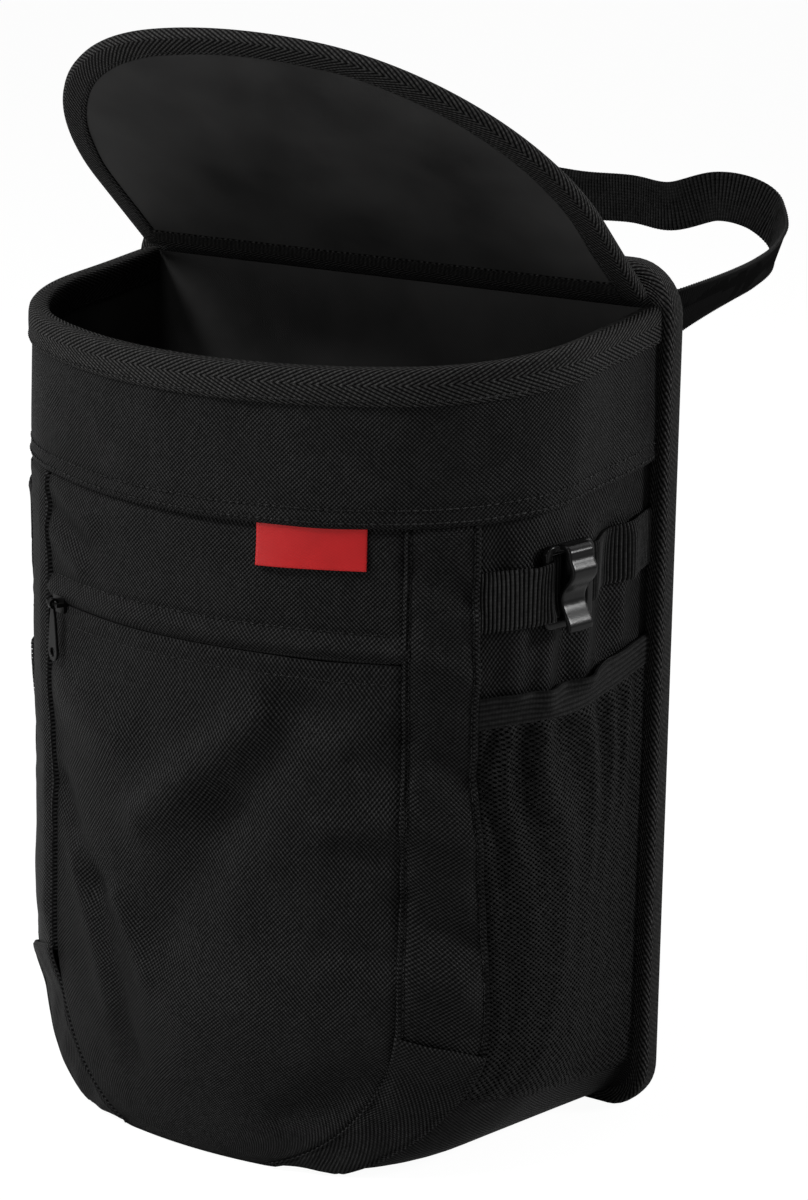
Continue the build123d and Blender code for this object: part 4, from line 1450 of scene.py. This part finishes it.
def lay_lining(across, up):
    """across runs once round the bag from the middle of the back, up from the floor's middle to the rim."""
    grow = np.clip(up / FLOOR_SHARE, 0, 1)
    climb = np.clip((up - FLOOR_SHARE) / (1 - FLOOR_SHARE), 0, 1) ** 1.5
    on_back = np.abs(across - 0.5) > WALL_SHARE
    arc_share = np.clip((0.5 - across) / WALL_SHARE, -1, 1)
    rim = band_height(RIM_HEIGHT, arc_share * FULL_ARC)
    z = climb * (rim - 0.5)
    arc = arc_share * (arc_at_back(z) - 1.5)
    loose = 0.8 * ease(z / 40) * (1 + soft_noise(arc, z, 28, 6.1)) * (z < rim - 14)
    inner = on_wall(arc, z, LINING_IN - loose + np.minimum(slump(arc, z), 0))
    back_share = np.clip((0.5 - np.abs(across - 0.5)) / (0.5 - WALL_SHARE), 0, 1)
    inner[:, 0] *= np.where(on_back, back_share, 1)
    inner[:, 1] = np.where(on_back, np.minimum(inner[:, 1], BACK_Y - 1.5), inner[:, 1])
    inner[:, :2] = FLOOR_MIDDLE + (inner[:, :2] - FLOOR_MIDDLE) * grow[:, None]
    inner[:, 2] = np.maximum(inner[:, 2], LINING_FLOOR)
    return inner


make_sheet("lining_cloth", (200, 90), (560, 370), lay_lining, LINING_PLY, satin,
           "lining", cut_share=0.92, closed=True)

# %% [markdown]
# ## The lid
# A thin stiff board in the bag's D shape, black cloth above, grey satin below, bound with herringbone tape.
# It is laid out flat in the lid's own plane and then turned up about the hinge line, where the model holds
# it at rest.

# %% The lid's plane and outline
LID_HALF_WIDTH = 115.0
LID_DEPTH = 145.0
LID_FRONT_RADIUS = 187.0
LID_SIDE_RADIUS = 98.0
LID_OPEN_ANGLE = math.radians(42.0)
LID_FACE = 2.0
LID_ROOT = 1.8
joints = {joint["name"]: joint for joint in frame["record"]["behaviour"]["joints"]}
HINGE_Y, HINGE_Z = np.array(joints["lid_swing"]["pos_m"][1:]) / MM
LID_CORNER_X = LID_HALF_WIDTH - LID_SIDE_RADIUS
LID_REACH = LID_FRONT_RADIUS - LID_SIDE_RADIUS
LID_EDGE_TURN = math.asin(LID_CORNER_X / LID_REACH)
LID_CORNER_Y = LID_DEPTH - LID_FRONT_RADIUS + LID_REACH * math.cos(LID_EDGE_TURN)


def on_lid(x, y, lift):
    """Points of the lid's own plane, y forward from the hinge and lift off the plane, turned open."""
    turn_y = HINGE_Y - y * math.cos(LID_OPEN_ANGLE) + lift * math.sin(LID_OPEN_ANGLE)
    turn_z = HINGE_Z + y * math.sin(LID_OPEN_ANGLE) + lift * math.cos(LID_OPEN_ANGLE)
    return np.stack([x, turn_y, turn_z], -1)


def lid_arc(centre_x, centre_y, radius, turns):
    """Points of an arc of the lid's edge, and their inward normals."""
    out = np.stack([np.sin(turns), np.cos(turns)], -1)
    return np.array([centre_x, centre_y]) + radius * out, -out


def lid_edge():
    """The lid's edge from its right root round the front to the left, with inward normals."""
    mirror = np.array([-1, 1])
    corner_turns = np.linspace(math.pi / 2, LID_EDGE_TURN, 30)
    front_turns = np.linspace(LID_EDGE_TURN, -LID_EDGE_TURN, 40)[1:-1]
    right, right_in = lid_arc(LID_CORNER_X, LID_CORNER_Y, LID_SIDE_RADIUS, corner_turns)
    front, front_in = lid_arc(0, LID_DEPTH - LID_FRONT_RADIUS, LID_FRONT_RADIUS, front_turns)
    root = np.array([(LID_HALF_WIDTH, LID_ROOT)])
    points = np.concatenate([root, right, front, right[::-1] * mirror, root * mirror])
    normals = np.concatenate([[(-1, 0)], right_in, front_in, right_in[::-1] * mirror, [(1, 0)]])
    return points, normals


lid_outline = lid_edge()
print(f"lid hinge at y {HINGE_Y:.1f}, z {HINGE_Z:.1f} mm; corner arcs at y {LID_CORNER_Y:.1f}")

# %% Lay the lid's cloths
LID_FLAT = (238, 144)


def arc_half_width(y, centre_x, centre_y, radius):
    """How far an arc reaches to the side at a distance from the hinge."""
    return centre_x + np.sqrt(np.maximum(radius ** 2 - np.maximum(y - centre_y, 0) ** 2, 0))


def lid_half_width(y, inset):
    """Half the lid's width at a distance from the hinge, drawn in by an inset."""
    side = arc_half_width(y, LID_CORNER_X, LID_CORNER_Y, LID_SIDE_RADIUS - inset)
    front = arc_half_width(y, 0, LID_DEPTH - LID_FRONT_RADIUS, LID_FRONT_RADIUS - inset)
    return np.where(y < LID_CORNER_Y, LID_HALF_WIDTH - inset, np.minimum(side, front))


def lay_lid_cloth(way, across, up):
    """The lid's cover (way 1) or its lining (way -1)."""
    y = LID_ROOT + 0.4 + (LID_DEPTH - LID_ROOT - 4.5) * np.sin(up * math.pi / 2)
    x = (2 * across - 1) * lid_half_width(y, 1.4)
    wavy = 0.35 * (soft_noise(x, y, 52, 2.2) + 0.6) * ease((LID_DEPTH - y) / 25)
    return on_lid(-way * x, y, way * (LID_FACE + wavy))


make_sheet("lid_cover_cloth", (70, 60), LID_FLAT, partial(lay_lid_cloth, 1), FLAT_PLY,
           oxford, "lid_cover", body="lid", cut_share=0.9)
make_sheet("lid_lining_cloth", (70, 60), LID_FLAT, partial(lay_lid_cloth, -1), FLAT_PLY,
           satin, "lid_lining", body="lid", cut_share=0.9)
paint(frame["nodes"]["lid_board"], board)

# %% Bind the lid's edge, with a profile of distances inward and heights
LID_PROFILE = [
    (9.8, -2.0), (9.8, -2.5), (9.0, -2.85), (6, -2.92), (2.4, -2.9), (0.6, -2.6), (-0.5, -1.6), (-0.9, 0),
    (-0.5, 1.6), (0.6, 2.6), (2.4, 2.9), (6, 2.92), (9.0, 2.85), (9.8, 2.5), (9.8, 2.0)]
LID_TAPE_FLAT = (440, 24)
LID_ROW_IN = 7.8
LID_ROW_LIFT = 2.85
LID_TAPE_WAVE = (0.35, 20, 8.8)


def lid_tape_point(share, inward, lift):
    x, y = beside_outline(lid_outline, share, inward).T
    return on_lid(x, y, lift + 0 * x)


def lay_lid_tape(across, up):
    inward, lift = profile_at(LID_PROFILE, up)
    wavy = waves(LID_TAPE_FLAT[0] * across, lift, LID_TAPE_WAVE) * (inward > 4)
    return lid_tape_point(across, inward + wavy, lift)


make_sheet("lid_binding_tape", (260, 34), LID_TAPE_FLAT, lay_lid_tape, RIM_PLY, tape,
           "lid_binding", body="lid", offset=1.0)
lid_share = np.linspace(0.003, 0.997, 320)
rows = []
for way in (-1, 1):
    row = lid_tape_point(lid_share, LID_ROW_IN, way * LID_ROW_LIFT)
    rows.append((row, lid_tape_point(lid_share, LID_ROW_IN, way * (LID_ROW_LIFT + 1)) - row))
sew("stitches_lid_tape", rows, "lid")

# %% [markdown]
# ## The cloth hinge
# The lid turns on nothing but cloth: a strip sewn to the back panel and to the lid's edge. It is laid once,
# in the lid's rest pose, and hangs on neither body: its back part follows the bag, its front part the lid,
# with a smooth turn between.

# %% Lay the hinge strip, whose profile gives y and z
HINGE_HALF_LENGTH = 107.0
HINGE_PROFILE = [
    (64.5, 333.5), (64.3, 329.5), (63.6, 325.6), (62.2, 323.6), (60.4, 322.6), (58.6, 322.9)]
HINGE_FLAT = (228, 26)
HINGE_PLY = 0.7
HINGE_LEG = 11.0
HINGE_OFF_LID = 0.9


def lay_hinge(across, up):
    x = (2 * across - 1) * HINGE_HALF_LENGTH
    leg = np.clip((up - 0.5) / 0.5, 0, 1)
    y, z = profile_at(HINGE_PROFILE, np.clip(up / 0.5, 0, 1))
    panel_part = np.stack([x, y, z], -1)
    lid_part = on_lid(x, 1.0 + HINGE_LEG * leg, -LID_FACE - HINGE_OFF_LID + 0 * x)
    return np.where((up > 0.5)[:, None], lid_part, panel_part)


hinge = cut_cloth("lid_hinge_strip", (80, 24), HINGE_FLAT, lay_hinge)
thicken(hinge, HINGE_PLY, offset=0.0)
dress(hinge, tape, None, ["lid_hinge"])
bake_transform(hinge)
declare(HINGE_FLAT)

# %% [markdown]
# ## The hanging strap
# A loop of ribbed webbing behind the panel. It is stiff enough to stand out by itself but limp enough to
# wave and twist. A few listed points give its line, a smooth curve runs through them, and the band turns
# about that line by an angle of its own at each point. Its ends are sewn under square patches.

# %% The strap's line, as places and turns in degrees
STRAP_WIDTH = 20.0
STRAP_PLY = 1.3
STRAP_LINE = [
    (83.5, 77.2, 310, 0), (95, 77.6, 310, 0), (104, 80.0, 310.5, -2), (109.5, 87, 312, -10),
    (111, 104, 314.5, -22), (110, 128, 316.5, -30), (107.5, 152, 318, -32), (104, 176, 320, -28),
    (99.5, 197, 324.5, -18), (91, 210, 331.5, -6), (79, 214.5, 338, -8), (62, 213.5, 340, -10),
    (43, 208.5, 334.8, 2), (21, 213.5, 335.5, 4), (-4, 214, 335, 0), (-34, 209.5, 337.5, -8),
    (-62, 213, 338, 2), (-84, 210, 337, 6), (-99, 198, 334.5, 0), (-106, 178, 330, -10),
    (-109, 154, 324, -14), (-110.5, 130, 319, -10), (-110.5, 106, 315, -6), (-109, 88, 312, -2),
    (-104, 80.0, 310.5, 0), (-95, 77.6, 310, 0), (-83.5, 77.2, 310, 0)]
STRAP_STEPS = 24
STRAP_TANGENT_STEP = 0.002


def smooth_line(points, steps):
    """A smooth curve through the points, with some steps between each two."""
    points = np.array(points, float)
    padded = np.concatenate([[2 * points[0] - points[1]], points, [2 * points[-1] - points[-2]]])
    share = np.linspace(0, 1, steps, endpoint=False)[:, None]
    spans = []
    for a, b, c, d in zip(padded, padded[1:], padded[2:], padded[3:]):
        bend = (2 * a - 5 * b + 4 * c - d) * share ** 2 + (3 * b - a - 3 * c + d) * share ** 3
        spans.append(0.5 * (2 * b + (c - a) * share + bend))
    return np.concatenate(spans + [points[-1:]])


strap_curve = smooth_line(STRAP_LINE, STRAP_STEPS)
strap_line = strap_curve[:, :3]
STRAP_LENGTH = path_length(strap_line)[-1]
print(f"strap {STRAP_LENGTH:.0f} mm long")


# %% Lay the strap along its line
def strap_frame(share):
    """The strap's place, the way across its width and its outward normal, at shares of its length."""
    here = path_at(strap_line, strap_curve, share)
    ahead, behind = [
        path_at(strap_line, strap_line, share + step) for step in (STRAP_TANGENT_STEP, -STRAP_TANGENT_STEP)]
    tangent = unit(ahead - behind)
    up = unit(np.array([0.0, 0.0, 1.0]) - tangent * tangent[:, 2:])
    out = np.cross(up, tangent)
    twist = np.radians(here[:, 3:])
    return here[:, :3], up * np.cos(twist) + out * np.sin(twist), out * np.cos(twist) - up * np.sin(twist)


def lay_strap(across, up):
    here, width, out = strap_frame(np.clip(across, 0.0005, 0.9995))
    form = band_ribs(across, STRAP_LENGTH) + band_edge(up, STRAP_WIDTH, 0.4, 0.9)
    return here + width * ((up - 0.5) * STRAP_WIDTH)[:, None] + out * form[:, None]


columns = int(RIB_COLUMNS * STRAP_LENGTH / RIB_PITCH)
# The strap wears the webbing painted darker, as painted shade.
make_sheet("hanging_strap_webbing", (columns, 14), (STRAP_LENGTH, STRAP_WIDTH), lay_strap, STRAP_PLY,
           shaded_strap_webbing, "hanging_strap", offset=0.0)

# %% Sew the strap's patches
PATCH_HALF = 11.0
PATCH_PLY = 3.4
PATCH_OUT = 1.9
PATCH_BEVEL = 0.4
PATCH_ROW_IN = 2.2
PATCH_ROW_OUT = 2.15
BOX_AND_CROSS = np.array([(-1, -1), (1, -1), (1, 1), (-1, 1), (-1, -1), (1, 1), (1, -1), (-1, 1)])
LINE_POINTS = 12


def lay_patch(middle, face, across, up):
    x = middle[0] - (2 * across - 1) * PATCH_HALF
    z = middle[2] + (2 * up - 1) * PATCH_HALF
    return np.stack([x, face + PATCH_OUT + band_ribs(across, 2 * PATCH_HALF), z], -1)


for side, word in SIDES:
    patch_low, patch_high = node_box(f"strap_patch_{word}")
    middle, face = (patch_low + patch_high) / 2, patch_high[1]
    patch = cut_cloth(f"strap_patch_webbing_{word}", (60, 14), (2 * PATCH_HALF, 2 * PATCH_HALF),
                      partial(lay_patch, middle, face))
    thicken(patch, PATCH_PLY)
    apply_modifier(patch, "BEVEL", width=PATCH_BEVEL * MM, segments=2, limit_method="ANGLE",
                   angle_limit=math.radians(60))
    dress(patch, webbing, "bag", [f"strap_patch_{word}"])
    corners = BOX_AND_CROSS * (PATCH_HALF - PATCH_ROW_IN)
    lines = []
    for start, end in zip(corners, corners[1:]):
        x, z = (start + (end - start) * np.linspace(0, 1, LINE_POINTS)[:, None]).T
        points = np.stack([middle[0] + x, np.full_like(x, face + PATCH_ROW_OUT), middle[2] + z], -1)
        lines.append((points, np.tile(BACKWARD, (LINE_POINTS, 1))))
    sew(f"stitches_patch_{word}", lines, "bag")

# %% [markdown]
# ## Floor, light and camera
# The bin stands on a pale floor in a white room. To the camera the floor and the room are white; to the
# cloth they are only soft light, so that black stays black, and gloss mirrors a fainter white. Five soft
# lamps stand left, above, in front, right and behind. The camera's place was worked out from the bin's own
# edges in the photograph.

# %% Stage the floor and the room
FLOOR_SIZE = 12.0
FLOOR_HEIGHT = -0.0004
FLOOR_GREY = 0.6
FLOOR_GLOW = 1.13
ROOM_LIGHT = 0.14
bpy.ops.object.select_all(action="DESELECT")
bpy.ops.mesh.primitive_plane_add(size=FLOOR_SIZE, location=(0, 0, FLOOR_HEIGHT))
floor = bpy.context.object
floor.name = "studio_floor"


def seen_white(pen, direct, mirrored):
    """How white the room looks to the camera's own rays, and to those that gloss or glass sends on."""
    rays = ("Camera", "Glossy", "Transmission")
    camera, gloss, glass = [pen.node("ShaderNodeLightPath", {}, {}, f"Is {word} Ray") for word in rays]
    return direct * camera + mirrored * (gloss + glass)


def white_light(pen, kind, strength):
    return pen.node(kind, {}, {"Color": (1, 1, 1, 1), "Strength": strength})


floor_finish, pen, shader = start_finish("pale studio floor", {
    "Base Color": (*grey(FLOOR_GREY), 1), "Roughness": 0.9, "Specular IOR Level": 0.0})
floor.data.materials.append(floor_finish)
glow = white_light(pen, "ShaderNodeEmission", FLOOR_GLOW)
mixed = pen.node("ShaderNodeMixShader", {}, {
    0: seen_white(pen, 0.85, 0.15), 1: Strand(pen.tree, shader.outputs[0]), 2: glow})
pen.tree.links.new(mixed.socket, pen.tree.nodes["Material Output"].inputs["Surface"])

world = bpy.data.worlds.new("white room")
bpy.context.scene.world = world
world.use_nodes = True
room = Strand(world.node_tree)
plain = white_light(room, "ShaderNodeBackground", ROOM_LIGHT)
bright = white_light(room, "ShaderNodeBackground", 1.0)
sky = room.node("ShaderNodeMixShader", {}, {0: seen_white(room, 1.0, 0.35), 1: plain, 2: bright})
room.tree.links.new(sky.socket, room.tree.nodes["World Output"].inputs["Surface"])
bpy.context.scene.view_settings.view_transform = "Standard"
print(f"floor of {FLOOR_SIZE:.0f} m in a white room")

# %% Set the lamps, each with its place, size and watts
LOOK_AT = Vector((0.0, 0.0, 0.17))
LAMPS = {
    "lamp_left": ((-1.15, -1.05, 1.75), 0.5, 30),
    "lamp_top": ((-0.35, -0.9, 1.9), 0.6, 12),
    "lamp_front": ((-0.9, -1.8, 0.25), 0.6, 11),
    "lamp_right": ((1.42, 0.9, 0.82), 0.35, 18),
    "lamp_behind": ((0.5, 1.6, 1.1), 0.8, 5),
}
for name, (place, size, watts) in LAMPS.items():
    light = bpy.data.lights.new(name, "AREA")
    light.size = size
    light.energy = watts
    lamp = bpy.data.objects.new(name, light)
    bpy.context.collection.objects.link(lamp)
    lamp.location = place
    lamp.rotation_euler = (LOOK_AT - lamp.location).to_track_quat("-Z", "Y").to_euler()
print(len(LAMPS), "soft lamps")

# %% Place the camera
AZIMUTH = math.radians(33.14)
ELEVATION = math.radians(14.689)
ROLL = math.radians(-0.852)
DISTANCE = 1.345
TARGET = Vector((0.0, 0.07618, 0.18665))
FOCAL_PIXELS = 3346.8
PHOTO_HEIGHT = 1200
SENSOR = 36.0

level = math.cos(ELEVATION)
back = Vector((math.sin(AZIMUTH) * level, -math.cos(AZIMUTH) * level, math.sin(ELEVATION)))
level_right = Vector((math.cos(AZIMUTH), math.sin(AZIMUTH), 0))
level_up = back.cross(level_right)
right = level_right * math.cos(ROLL) - level_up * math.sin(ROLL)
up = level_right * math.sin(ROLL) + level_up * math.cos(ROLL)
camera_data = bpy.data.cameras.new("photo_camera")
camera_data.sensor_width = SENSOR
camera_data.lens = FOCAL_PIXELS / PHOTO_HEIGHT * SENSOR
camera = bpy.data.objects.new("photo_camera", camera_data)
bpy.context.collection.objects.link(camera)
turned = Matrix((right, up, back)).transposed()
camera.matrix_world = Matrix.Translation(TARGET + DISTANCE * back) @ turned.to_4x4()
bpy.context.scene.camera = camera
print(f"lens {camera_data.lens:.1f} mm at {DISTANCE:.2f} m")
